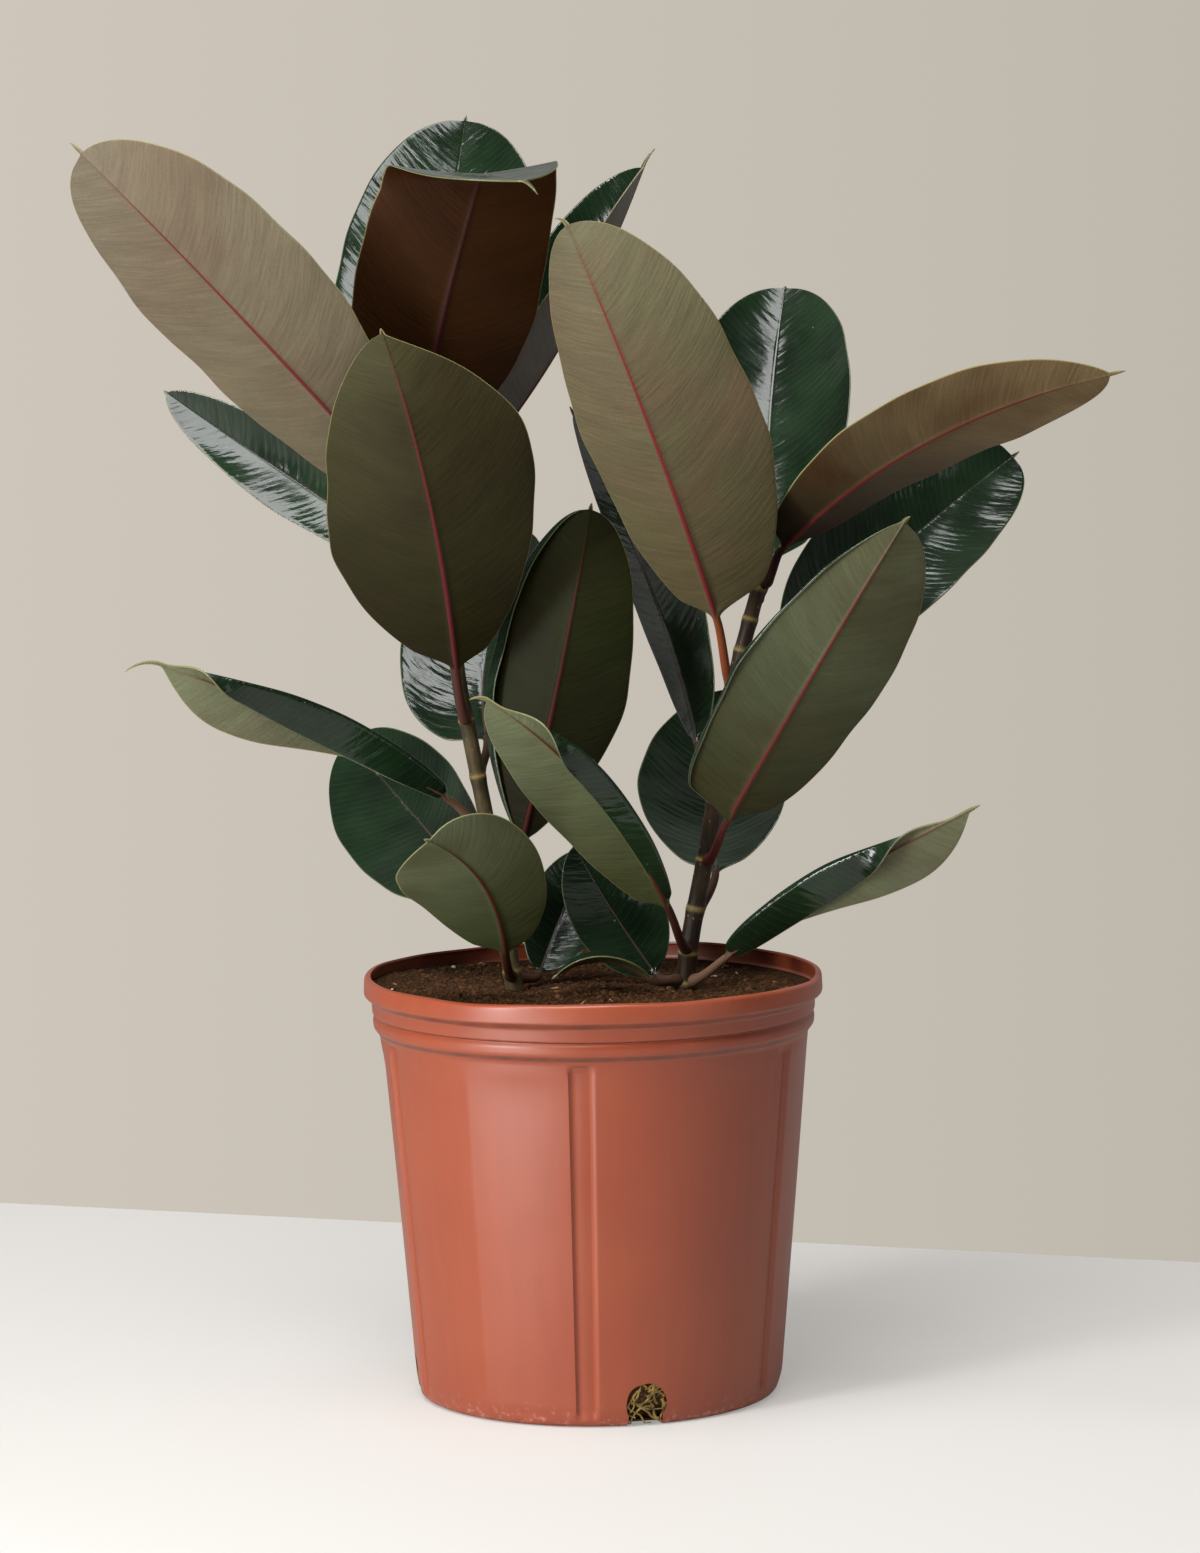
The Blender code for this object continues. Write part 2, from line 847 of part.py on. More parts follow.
def make_leaf(collection, leaf):
    rings = []
    for u in along_stations(leaf):
        ring, upper_count = blade_ring(leaf, u)
        rings.append(ring)
    count = len(rings[0])
    rings = petiole_rings(leaf, upper_count, count) + rings
    rings.append(drip_tip_ring(leaf, upper_count, count))
    mesh = mesh_from_rings(f"leaf_{leaf.name}", rings)
    return add_part(collection, f"leaf_{leaf.name}", mesh, (0.03, 0.07, 0.035), 0.3)


def main():
    for old in list(bpy.data.objects):
        bpy.data.objects.remove(old)
    plant = bpy.data.collections.new("potted_rubber_plant")
    cutters = bpy.data.collections.new("cutters")
    bpy.context.scene.collection.children.link(plant)
    bpy.context.scene.collection.children.link(cutters)
    make_pot(plant, cutters)
    make_soil(plant, cutters)
    for name, stem in STEMS.items():
        make_stem(plant, name, stem)
    for leaf in LEAVES:
        make_leaf(plant, leaf)


main()
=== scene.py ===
"""The looks of a potted rubber plant: a burgundy Ficus elastica with two stems, in a thin nursery pot.

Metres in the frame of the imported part: +Z up, the origin in the middle of the pot's foot, and -Y
the side that the plant faces. Sizes are written in millimetres and turned by MM.
"""

from dataclasses import dataclass
from math import cos, log, pi, radians, sin

import bmesh
import bpy
import numpy as np
from mathutils import Matrix, Vector, noise


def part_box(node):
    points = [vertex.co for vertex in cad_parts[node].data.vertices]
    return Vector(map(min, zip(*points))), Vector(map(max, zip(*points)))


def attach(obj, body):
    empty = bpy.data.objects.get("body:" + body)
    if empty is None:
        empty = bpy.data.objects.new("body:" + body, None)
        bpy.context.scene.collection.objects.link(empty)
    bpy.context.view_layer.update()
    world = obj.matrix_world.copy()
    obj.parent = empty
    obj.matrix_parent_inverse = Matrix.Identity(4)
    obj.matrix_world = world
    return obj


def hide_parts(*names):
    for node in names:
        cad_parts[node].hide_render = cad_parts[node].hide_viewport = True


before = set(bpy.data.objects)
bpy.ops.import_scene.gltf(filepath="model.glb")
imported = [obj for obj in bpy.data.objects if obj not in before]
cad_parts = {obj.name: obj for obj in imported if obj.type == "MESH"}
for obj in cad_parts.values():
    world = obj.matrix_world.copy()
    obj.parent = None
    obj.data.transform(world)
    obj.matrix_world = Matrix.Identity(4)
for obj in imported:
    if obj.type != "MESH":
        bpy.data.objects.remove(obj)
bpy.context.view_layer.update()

MM = 0.001

# ---------------------------------------------------------------------------------------------
# Nursery pot. One thin shell of terracotta-coloured polypropylene, drawn over a tapered mould:
# a rolled lip, two bands and a bead below it, six upright flutes with panels between them that
# have drawn slightly flat, and four keyhole drain holes punched at the foot.

POT_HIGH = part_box("nursery_pot")[1].z / MM
POT_WALL = 1.2
POT_COLUMNS = 520
POT_ROW_STEP = 7.0
# Corners of the outer face: radius, height, and how far from the corner its rounding starts.
POT_OUTER = [
    (131.0, POT_HIGH, 0),
    (134.6, POT_HIGH - 0.6, 1.8),
    (135.0, 238.4, 1.2),
    (130.6, 235.0, 1.4),
    (130.1, 227.6, 0.8),
    (128.3, 226.6, 0.6),
    (129.9, 224.2, 1.6),
    (129.5, 219.4, 1.6),
    (125.9, 215.0, 2.0),
    (125.2, 206.0, 4.0),
    (108.7, 9.0, 4.0),
    (105.4, 0.0, 5.0),
    (90.0, 0.0, 1.5),
    (87.0, 2.2, 1.5),
    (0, 2.2, 0),
]
FLUTES = [-68.5, -3.6, 61.5, 119.0, 176.5, 234.0]
FLUTE_DEPTH = 2.3
FLUTE_FLAT = 2.3
FLUTE_EDGE = 3.4
FLUTE_TOP = (211.0, 214.0)
FLUTE_FOOT = (2.0, 10.0)
# Most panels have a soft fold half-way between their flutes, so they lie flat in two parts.
PANEL_FLAT = 1.4
PANEL_TOP = (195.0, 214.0)
PANEL_FOOT = (0.0, 9.0)
PANEL_CORNERS = [-101.0, -68.5, -36.0, -3.6, 61.5, 90.0, 119.0, 147.8, 176.5, 205.2, 234.0]
# Each drain hole is a round hole over a slot that opens at the foot. The arc is that of its round
# part, and the punch is where its cutter starts and ends, out from the axis.
DRAIN_HOLES = [14.8, 99.0, 190.0, 275.5]
DRAIN_RADIUS = 12.2
DRAIN_MIDDLE = 13.4
DRAIN_SLOT = 10.2
DRAIN_ARC = (-33, 213)
DRAIN_PUNCH = (92.0, 118.0)


def smooth_step(value, low, high):
    share = np.clip((value - low) / (high - low), 0, 1)
    return share * share * (3 - 2 * share)


def inset_corners(corners, depth):
    """The same corners moved inwards by a wall's thickness, with each side kept parallel."""
    points = np.array([corner[:2] for corner in corners])
    ways = np.diff(points, axis=0)
    ways /= np.linalg.norm(ways, axis=1)[:, None]
    inward = np.stack([ways[:, 1], -ways[:, 0]], axis=1)
    moved = []
    for index, (radius, height, rounding) in enumerate(corners):
        before = inward[max(index - 1, 0)]
        after = inward[min(index, len(inward) - 1)]
        mitre = (before + after) / (1 + before @ after)
        moved.append((radius + mitre[0] * depth, height + mitre[1] * depth, rounding))
    moved[-1] = (0, moved[-1][1], 0)
    return moved


def rounded(corners, row_step):
    """Points down a profile: each corner rounded with a curve, each long side cut into rows."""
    points = [np.array(corners[0][:2])]
    for before, corner, after in zip(corners, corners[1:], corners[2:]):
        middle = np.array(corner[:2])
        back = np.array(before[:2]) - middle
        onward = np.array(after[:2]) - middle
        reach = min(corner[2], np.linalg.norm(back) * 0.49, np.linalg.norm(onward) * 0.49)
        start = middle + back / np.linalg.norm(back) * reach
        end = middle + onward / np.linalg.norm(onward) * reach
        for share in np.linspace(0, 1, 5):
            points.append((1 - share) ** 2 * start + 2 * share * (1 - share) * middle + share**2 * end)
    points.append(np.array(corners[-1][:2]))
    rows = [points[0]]
    for point in points[1:]:
        gap = np.linalg.norm(point - rows[-1])
        for step in range(1, int(gap / row_step) + 1):
            rows.append(rows[-1] + (point - rows[-1]) * step / (int(gap / row_step) + 1))
        rows.append(point)
    return np.array(rows)


def flute_share(degrees, height):
    """1 on the flat of a flute, 0 on the plain wall."""
    deep = np.zeros_like(degrees * height)
    for flute in FLUTES:
        away = np.abs((degrees - flute + 180) % 360 - 180)
        deep = np.maximum(deep, 1 - smooth_step(away, FLUTE_FLAT, FLUTE_EDGE))
    return deep * (1 - smooth_step(height, *FLUTE_TOP)) * smooth_step(height, *FLUTE_FOOT)


def pot_swell(degrees, height):
    """How far the wall stands out of its plain cone, in millimetres: flutes, flat panels and a slack lip."""
    swell = -FLUTE_DEPTH * flute_share(degrees, height)
    for corner, following in zip(PANEL_CORNERS, PANEL_CORNERS[1:] + [PANEL_CORNERS[0] + 360]):
        away = np.abs((degrees - (corner + following) / 2 + 180) % 360 - 180)
        inward = np.clip(1 - (2 * away / (following - corner)) ** 2, 0, 1)
        flat = inward * (1 - smooth_step(height, *PANEL_TOP)) * smooth_step(height, *PANEL_FOOT)
        swell = swell - PANEL_FLAT * flat
    turn = np.radians(degrees)
    slack = 0.45 * np.sin(2 * turn + 0.6) + 0.3 * np.sin(5 * turn + 2) + 0.16 * np.sin(11 * turn + 1)
    swell = swell + slack * smooth_step(height, 209, POT_HIGH)
    return swell + 0.12 * np.sin(3 * turn + height / 40)


def around_pot(profile):
    """(rows, columns, 3) points of a profile carried round the pot, in metres."""
    degrees = np.arange(POT_COLUMNS)[None, :] * 360 / POT_COLUMNS
    radius, height = profile[:, :1], profile[:, 1:]
    on_wall = smooth_step(radius, 85, 100)
    reach = radius + pot_swell(degrees, height) * on_wall
    turn = np.radians(degrees)
    slack = 0.7 * np.sin(3 * turn + 1) + 0.35 * np.sin(7 * turn + 2) + 0.16 * np.sin(13 * turn)
    height = height + slack * smooth_step(height, 229, POT_HIGH) * on_wall
    return np.stack([reach * np.sin(turn), -reach * np.cos(turn), height + 0 * turn], axis=2) * MM


def closed_skin(name, rows, poles=(False, False)):
    """A mesh through closed rings of points. A pole row shrinks to one point; other ends are capped."""
    count = rows.shape[1]
    points = rows.reshape(-1, 3).tolist()
    faces = []
    for row in range(len(rows) - 1):
        for column in range(count):
            after = (column + 1) % count
            faces.append((row * count + column, row * count + after,
                          (row + 1) * count + after, (row + 1) * count + column))
    for pole, row in zip(poles, (0, len(rows) - 1)):
        ring = [row * count + column for column in range(count)]
        if not pole:
            faces.append(tuple(ring[::-1] if row == 0 else ring))
    mesh = bpy.data.meshes.new(name)
    mesh.from_pydata(points, [], faces)
    if any(poles):
        shape = bmesh.new()
        shape.from_mesh(mesh)
        bmesh.ops.remove_doubles(shape, verts=shape.verts, dist=1e-6)
        bmesh.ops.recalc_face_normals(shape, faces=shape.faces)
        shape.to_mesh(mesh)
        shape.free()
    mesh.shade_smooth()
    return mesh


def shown(name, mesh, *materials):
    """A new object for a mesh that is already in place."""
    thing = bpy.data.objects.new(name, mesh)
    for material in materials:
        mesh.materials.append(material)
    bpy.context.scene.collection.objects.link(thing)
    return thing


def baked(thing):
    """A plain mesh object in place of one with modifiers or of a curve."""
    graph = bpy.context.evaluated_depsgraph_get()
    mesh = bpy.data.meshes.new_from_object(thing.evaluated_get(graph), depsgraph=graph)
    name = thing.name
    bpy.data.objects.remove(thing)
    return shown(name, mesh)


def linear(code):
    """An sRGB hex colour as linear RGBA."""
    parts = [int(code[start : start + 2], 16) / 255 for start in (1, 3, 5)]
    return (*[part / 12.92 if part <= 0.04045 else ((part + 0.055) / 1.055) ** 2.4 for part in parts], 1)


def add_node(tree, kind, settings=None, inputs=None):
    """Adds a node, makes its settings, and sets or links each input, by name or number. A node that
    is given for an input stands for its first live output."""
    node = tree.nodes.new(kind)
    for name, value in (settings or {}).items():
        setattr(node, name, value)
    for key, value in (inputs or {}).items():
        if isinstance(value, bpy.types.Node):
            value = next(output for output in value.outputs if output.enabled)
        if isinstance(value, bpy.types.NodeSocket):
            tree.links.new(value, node.inputs[key])
        else:
            node.inputs[key].default_value = value
    return node


def new_material(name, settings):
    """A material with one Principled BSDF, whose even values are set on its own sockets."""
    material = bpy.data.materials.new(name)
    material.use_nodes = True
    tree = material.node_tree
    shader = tree.nodes["Principled BSDF"]
    for key, value in settings.items():
        shader.inputs[key].default_value = value
    return material, tree, shader


MIX = dict(data_type="RGBA")
MULTIPLY = dict(data_type="RGBA", blend_type="MULTIPLY")


def pot_plastic():
    """Recycled polypropylene, vacuum drawn: satin, with faint upright draw marks, a slightly
    cloudy colour, a fine pebbled skin, pale scuffs round the foot and soil dust below the lip."""
    material, tree, shader = new_material(
        "polypropylene, terracotta, satin drawn", {"IOR": 1.49, "Specular IOR Level": 0.8}
    )
    place = add_node(tree, "ShaderNodeTexCoord").outputs["Object"]
    height = add_node(tree, "ShaderNodeSeparateXYZ", inputs={0: place}).outputs["Z"]
    cloud = add_node(
        tree, "ShaderNodeTexNoise", inputs={"Vector": place, "Scale": 1 / (60 * MM), "Detail": 3}
    )
    draw_way = add_node(tree, "ShaderNodeMapping", inputs={"Vector": place, "Scale": (1, 1, 0.045)})
    draw = add_node(
        tree, "ShaderNodeTexNoise", inputs={"Vector": draw_way, "Scale": 1 / (7 * MM), "Detail": 4}
    )
    base = add_node(tree, "ShaderNodeMix", MIX, {0: cloud, 6: linear("#963e22"), 7: linear("#a34e2e")})
    marks = add_node(tree, "ShaderNodeMapRange", inputs={0: draw, 1: 0.35, 2: 0.65, 3: 0.97, 4: 1.03})
    streaked = add_node(tree, "ShaderNodeMix", MULTIPLY, {0: 1.0, 6: base, 7: marks})
    scuff_noise = add_node(
        tree, "ShaderNodeTexNoise",
        inputs={"Vector": place, "Scale": 1 / (4 * MM), "Detail": 6, "Roughness": 0.7},
    )
    near_foot = add_node(
        tree, "ShaderNodeMapRange", inputs={0: height, 1: 0.0, 2: 26 * MM, 3: 0.62, 4: 0.38}
    )
    scuff_raw = add_node(tree, "ShaderNodeMath", dict(operation="MULTIPLY"), {0: scuff_noise, 1: near_foot})
    scuff = add_node(tree, "ShaderNodeMapRange", inputs={0: scuff_raw, 1: 0.31, 2: 0.40, 3: 0.0, 4: 0.55})
    scuffed = add_node(tree, "ShaderNodeMix", MIX, {0: scuff, 6: streaked, 7: linear("#d8a594")})
    dust_noise = add_node(
        tree, "ShaderNodeTexNoise", inputs={"Vector": place, "Scale": 1 / (9 * MM), "Detail": 5}
    )
    outward = add_node(
        tree, "ShaderNodeVectorMath", dict(operation="DOT_PRODUCT"),
        {0: add_node(tree, "ShaderNodeNewGeometry").outputs["Normal"], 1: place},
    )
    inner_face = add_node(
        tree, "ShaderNodeMapRange", inputs={0: outward.outputs["Value"], 1: 0.0, 2: -0.02, 3: 0.0, 4: 1.0}
    )
    dust_low = add_node(
        tree, "ShaderNodeMapRange", inputs={0: height, 1: 248 * MM, 2: 234 * MM, 3: 0.1, 4: 1.1}
    )
    dust_amount = add_node(tree, "ShaderNodeMath", dict(operation="MULTIPLY"), {0: dust_noise, 1: dust_low})
    dust = add_node(tree, "ShaderNodeMath", dict(operation="MULTIPLY"), {0: dust_amount, 1: inner_face})
    dusty = add_node(tree, "ShaderNodeMix", MIX, {0: dust, 6: scuffed, 7: linear("#4a2c20")})
    pebble = add_node(
        tree, "ShaderNodeTexNoise", inputs={"Vector": place, "Scale": 1 / (0.9 * MM), "Detail": 2}
    )
    rough = add_node(tree, "ShaderNodeMapRange", inputs={0: cloud, 1: 0.3, 2: 0.7, 3: 0.34, 4: 0.42})
    grain = add_node(
        tree, "ShaderNodeBump", inputs={"Height": pebble, "Strength": 0.08, "Distance": 0.15 * MM}
    )
    lines = add_node(
        tree, "ShaderNodeBump",
        inputs={"Height": draw, "Strength": 0.07, "Distance": 0.4 * MM, "Normal": grain},
    )
    tree.links.new(dusty.outputs[2], shader.inputs["Base Color"])
    tree.links.new(rough.outputs[0], shader.inputs["Roughness"])
    tree.links.new(lines.outputs[0], shader.inputs["Normal"])
    return material


def keyhole(degrees):
    """A prism with a keyhole outline that stands across the wall at the foot."""
    turns = np.radians(np.linspace(*DRAIN_ARC, 34))
    wobble = 1 + 0.02 * np.sin(5 * turns + degrees)
    outline = [(DRAIN_RADIUS * cos(turn) * k, DRAIN_MIDDLE + DRAIN_RADIUS * sin(turn) * k)
               for turn, k in zip(turns, wobble)]
    outline += [(-DRAIN_SLOT - 0.3, -2), (DRAIN_SLOT + 0.3, -2)]
    rows = np.array([[(across, -reach, up) for across, up in outline] for reach in DRAIN_PUNCH]) * MM
    turn = np.array(Matrix.Rotation(radians(degrees), 3, "Z"))
    return rows @ turn.T


outer = rounded(POT_OUTER, POT_ROW_STEP)
inner = rounded(inset_corners(POT_OUTER, POT_WALL), POT_ROW_STEP * 1.5)
pot_rows = np.concatenate([around_pot(outer)[::-1], around_pot(inner)])
pot_mesh = closed_skin("pot_shell", pot_rows, poles=(True, True))
pot = shown("pot_shell", pot_mesh, pot_plastic())
cutter_meshes = [closed_skin("drain_cutter", keyhole(degrees)) for degrees in DRAIN_HOLES]
joined = bmesh.new()
for mesh in cutter_meshes:
    joined.from_mesh(mesh)
bmesh.ops.recalc_face_normals(joined, faces=joined.faces)
cutter_mesh = bpy.data.meshes.new("drain_cutters")
joined.to_mesh(cutter_mesh)
joined.free()
cutter = shown("drain_cutters", cutter_mesh)
punch = pot.modifiers.new("drain holes", "BOOLEAN")
punch.operation = "DIFFERENCE"
punch.solver = "EXACT"
punch.object = cutter
pot = baked(pot)
bpy.data.objects.remove(cutter)
pot.data.shade_smooth()
pot.data.set_sharp_from_angle(angle=radians(38))
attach(pot, "root")
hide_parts("nursery_pot")

# ---------------------------------------------------------------------------------------------
# Potting mix. Peat and fine bark, heaped towards the front and the stems, open and crumbly on
# top. Loose crumbs, fibres, a few white perlite grains and bark flakes lie on it, and roots show
# in the drain holes.

MIX_LEVEL = 237.0
MIX_MOUND = 2.0
MIX_MOUND_WIDTH = 80.0
MIX_FRONT_RISE = 3.0
MIX_LEFT_RISE = 5.0
MIX_REACH = 128.0
MIX_COLUMNS = 400
MIX_RINGS = 96
MIX_GAP = 0.35
MIX_FLOOR = 3.8
MIX_FOOT = (88.0, 101.0)
MIX_SIDE_FOOT = 12.0
# Loose grains lie no further out than this, so that none of them stands in the wall.
GRAINS_REACH = 123.5


def mix_height(x, y):
    """Broad height of the mix at a place, in millimetres, before its crumbs."""
    height = MIX_LEVEL + MIX_MOUND * np.exp(-(x * x + y * y) / MIX_MOUND_WIDTH**2)
    height = height + MIX_FRONT_RISE * np.maximum(0, -y / MIX_REACH) ** 2
    height = height + MIX_LEFT_RISE * np.maximum(0, -x / MIX_REACH) ** 2
    return height + 0.8 * np.sin(x / 14 + 1) * np.cos(y / 17)


def crumbled(x, y, height):
    """Lumps and pits on the mix: broad ones of 15 mm, and crumbs of 4 mm and 1.6 mm."""
    rise = np.empty(x.size)
    for index, (a, b) in enumerate(zip(x.ravel(), y.ravel())):
        lump = noise.noise(Vector((a / 15, b / 15, 3.1)))
        crumb = abs(noise.noise(Vector((a / 4.2, b / 4.2, 8.4))))
        grit = noise.noise(Vector((a / 1.7, b / 1.7, 1.7)))
        rise[index] = 1.5 * lump + 2.2 * crumb + 0.5 * grit
    return height + rise.reshape(x.shape) - 0.6


def potting_mix():
    """Damp peat: dark red-brown, paler where a crumb has dried, dull and fibrous."""
    material, tree, shader = new_material(
        "peat potting mix, damp", {"Roughness": 0.94, "Specular IOR Level": 0.2}
    )
    place = add_node(tree, "ShaderNodeTexCoord").outputs["Object"]
    patch = add_node(
        tree, "ShaderNodeTexNoise", inputs={"Vector": place, "Scale": 1 / (26 * MM), "Detail": 4}
    )
    crumb = add_node(
        tree, "ShaderNodeTexNoise",
        inputs={"Vector": place, "Scale": 1 / (1.9 * MM), "Detail": 5, "Roughness": 0.7},
    )
    tone = add_node(tree, "ShaderNodeAttribute", dict(attribute_name="tone"))
    dark = add_node(tree, "ShaderNodeMix", MIX, {0: patch, 6: linear("#170c05"), 7: linear("#35200f")})
    dry = add_node(tree, "ShaderNodeMapRange", inputs={0: crumb, 1: 0.42, 2: 0.66, 3: 0.0, 4: 0.85})
    pale = add_node(tree, "ShaderNodeMix", MIX, {0: dry, 6: dark, 7: linear("#5e4022")})
    own = add_node(tree, "ShaderNodeMath", dict(operation="MULTIPLY"), {0: tone.outputs["Fac"], 1: 0.6})
    tinted = add_node(tree, "ShaderNodeMix", MIX, {0: own, 6: pale, 7: linear("#6e482b")})
    bump = add_node(tree, "ShaderNodeBump", inputs={"Height": crumb, "Strength": 0.7, "Distance": 0.8 * MM})
    tree.links.new(tinted.outputs[2], shader.inputs["Base Color"])
    tree.links.new(bump.outputs[0], shader.inputs["Normal"])
    return material


inner_wall = inner[(inner[:, 1] > MIX_SIDE_FOOT) & (inner[:, 0] > MIX_FOOT[1])]
side = inner_wall[inner_wall[:, 1] < MIX_LEVEL + 2][::-1]
side = side[np.diff(side[:, 1], prepend=-1) > 0.4]
floor_row = np.array([[0, MIX_FLOOR], [MIX_FOOT[0], MIX_FLOOR], [MIX_FOOT[1], MIX_FLOOR + 2]])
side_profile = np.concatenate([floor_row, side - [MIX_GAP, 0]])
side_rows = around_pot(side_profile)
pick = np.round(np.linspace(0, POT_COLUMNS, MIX_COLUMNS, endpoint=False)).astype(int)
side_rows = side_rows[:, pick]
edge = side_rows[-1] / MM
shares = np.linspace(1, 0, MIX_RINGS) ** 0.9
top_x = shares[:, None] * edge[None, :, 0]
top_y = shares[:, None] * edge[None, :, 1]
top_z = crumbled(top_x, top_y, mix_height(top_x, top_y))
top_z[-1] = top_z[-1].mean()
top_rows = np.stack([top_x, top_y, top_z], axis=2) * MM
mix_mesh = closed_skin("potting_mix", np.concatenate([side_rows, top_rows]), poles=(True, True))
mix_material = potting_mix()
mix = shown("potting_mix", mix_mesh, mix_material)
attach(mix, "root")
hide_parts("potting_soil")


def scatter_tree(name, grain, material):
    """A node tree that strews a grain over the top of the mix and gives each one its own tone."""
    tree = bpy.data.node_groups.new(name, "GeometryNodeTree")
    tree.is_modifier = True
    sockets = {}
    wanted = [("Geometry", "NodeSocketGeometry"), ("Per square metre", "NodeSocketFloat"),
              ("Smallest", "NodeSocketFloat"), ("Largest", "NodeSocketFloat"), ("Sunk", "NodeSocketFloat"),
              ("Roughened", "NodeSocketFloat"), ("Tilt", "NodeSocketFloat"), ("Seed", "NodeSocketInt")]
    for label, kind in wanted:
        sockets[label] = tree.interface.new_socket(label, in_out="INPUT", socket_type=kind).identifier
    tree.interface.new_socket("Geometry", in_out="OUTPUT", socket_type="NodeSocketGeometry")
    given = add_node(tree, "NodeGroupInput").outputs
    normal = add_node(tree, "GeometryNodeInputNormal")
    upward = add_node(tree, "ShaderNodeSeparateXYZ", inputs={0: normal}).outputs["Z"]
    at = add_node(tree, "GeometryNodeInputPosition")
    level = add_node(tree, "ShaderNodeSeparateXYZ", inputs={0: at}).outputs["Z"]
    high = add_node(tree, "FunctionNodeCompare", inputs={0: level, 1: (MIX_LEVEL - 4) * MM})
    facing = add_node(tree, "FunctionNodeCompare", inputs={0: upward, 1: 0.2})
    top = add_node(tree, "FunctionNodeBooleanMath", inputs={0: high, 1: facing})
    spots = add_node(
        tree, "GeometryNodeDistributePointsOnFaces",
        inputs={"Mesh": given["Geometry"], "Selection": top, "Density": given["Per square metre"],
                "Seed": given["Seed"]},
    )
    spin = add_node(
        tree, "FunctionNodeRandomValue", dict(data_type="FLOAT_VECTOR"),
        {1: (1, 1, 6.28), "Seed": given["Seed"]},
    )
    tilt = add_node(tree, "ShaderNodeCombineXYZ", inputs={"X": given["Tilt"], "Y": given["Tilt"], "Z": 1.0})
    turn = add_node(tree, "ShaderNodeVectorMath", dict(operation="MULTIPLY"), {0: spin, 1: tilt})
    size = add_node(
        tree, "FunctionNodeRandomValue",
        inputs={2: given["Smallest"], 3: given["Largest"], "ID": add_node(tree, "GeometryNodeInputIndex"),
                "Seed": 7},
    )
    tone = add_node(tree, "FunctionNodeRandomValue", inputs={2: 0.0, 3: 1.0, "Seed": 11})
    level_at = add_node(tree, "ShaderNodeVectorMath", dict(operation="MULTIPLY"), {0: at, 1: (1, 1, 0)})
    from_axis = add_node(
        tree, "ShaderNodeVectorMath", dict(operation="LENGTH"), {0: level_at}
    ).outputs["Value"]
    clear_of_wall = add_node(
        tree, "FunctionNodeCompare", dict(operation="LESS_THAN"), {0: from_axis, 1: GRAINS_REACH * MM}
    )
    grains = add_node(
        tree, "GeometryNodeInstanceOnPoints",
        inputs={"Points": spots.outputs["Points"], "Selection": clear_of_wall, "Instance": grain(tree),
                "Rotation": turn, "Scale": size},
    )
    marked = add_node(
        tree, "GeometryNodeStoreNamedAttribute", dict(data_type="FLOAT", domain="INSTANCE"),
        {"Geometry": grains, "Name": "tone", "Value": tone},
    )
    real = add_node(tree, "GeometryNodeRealizeInstances", inputs={0: marked})
    rough = add_node(
        tree, "ShaderNodeTexNoise", inputs={"Vector": at, "Scale": 1 / (1.6 * MM), "Detail": 1}
    )
    centred = add_node(
        tree, "ShaderNodeVectorMath", dict(operation="SUBTRACT"),
        {0: rough.outputs["Color"], 1: (0.5, 0.5, 0.5)},
    )
    push = add_node(
        tree, "ShaderNodeVectorMath", dict(operation="SCALE"), {0: centred, "Scale": given["Roughened"]}
    )
    drop = add_node(tree, "ShaderNodeCombineXYZ", inputs={"Z": given["Sunk"]})
    offset = add_node(tree, "ShaderNodeVectorMath", dict(operation="SUBTRACT"), {0: push, 1: drop})
    moved = add_node(tree, "GeometryNodeSetPosition", inputs={"Geometry": real, "Offset": offset})
    dressed = add_node(tree, "GeometryNodeSetMaterial", inputs={"Geometry": moved, "Material": material})
    add_node(tree, "NodeGroupOutput", inputs={0: dressed})
    return tree, sockets


def strew(name, grain, material, settings, smooth=True):
    """Strews one kind of grain on the mix and keeps it as a plain mesh."""
    thing = shown(name, mix_mesh.copy())
    tree, sockets = scatter_tree(name, grain, material)
    layer = thing.modifiers.new(name, "NODES")
    layer.node_group = tree
    for label, value in settings.items():
        layer[sockets[label]] = value
    thing = baked(thing)
    if smooth:
        thing.data.shade_smooth()
    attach(thing, "root")
    return thing


def crumb_grain(tree):
    """A crumb of peat: a small ball of 20 faces, which the tree then pushes out of shape."""
    return add_node(tree, "GeometryNodeMeshIcoSphere", inputs={"Radius": 1.0, "Subdivisions": 1})


def lump_grain(tree):
    """A lump of peat or a perlite bead, of 80 faces."""
    return add_node(tree, "GeometryNodeMeshIcoSphere", inputs={"Radius": 1.0, "Subdivisions": 2})


def fibre_grain(tree):
    """A bent peat fibre, 14 long and 0.6 thick where a scale of 1 is 1 mm."""
    line = add_node(
        tree, "GeometryNodeCurveQuadraticBezier",
        inputs={"Resolution": 5, "Start": (-7, 0, 0), "Middle": (0, 5, 2.5), "End": (7, -1, 0)},
    )
    section = add_node(tree, "GeometryNodeCurvePrimitiveCircle", inputs={"Resolution": 3, "Radius": 0.3})
    return add_node(
        tree, "GeometryNodeCurveToMesh", inputs={"Curve": line, "Profile Curve": section, "Fill Caps": True}
    )


def flake_grain(tree):
    """A flake of bark, 6 by 2.4 by 0.7 where a scale of 1 is 1 mm."""
    return add_node(
        tree, "GeometryNodeMeshCube",
        inputs={"Size": (6, 2.4, 0.7), "Vertices X": 4, "Vertices Y": 3, "Vertices Z": 2},
    )


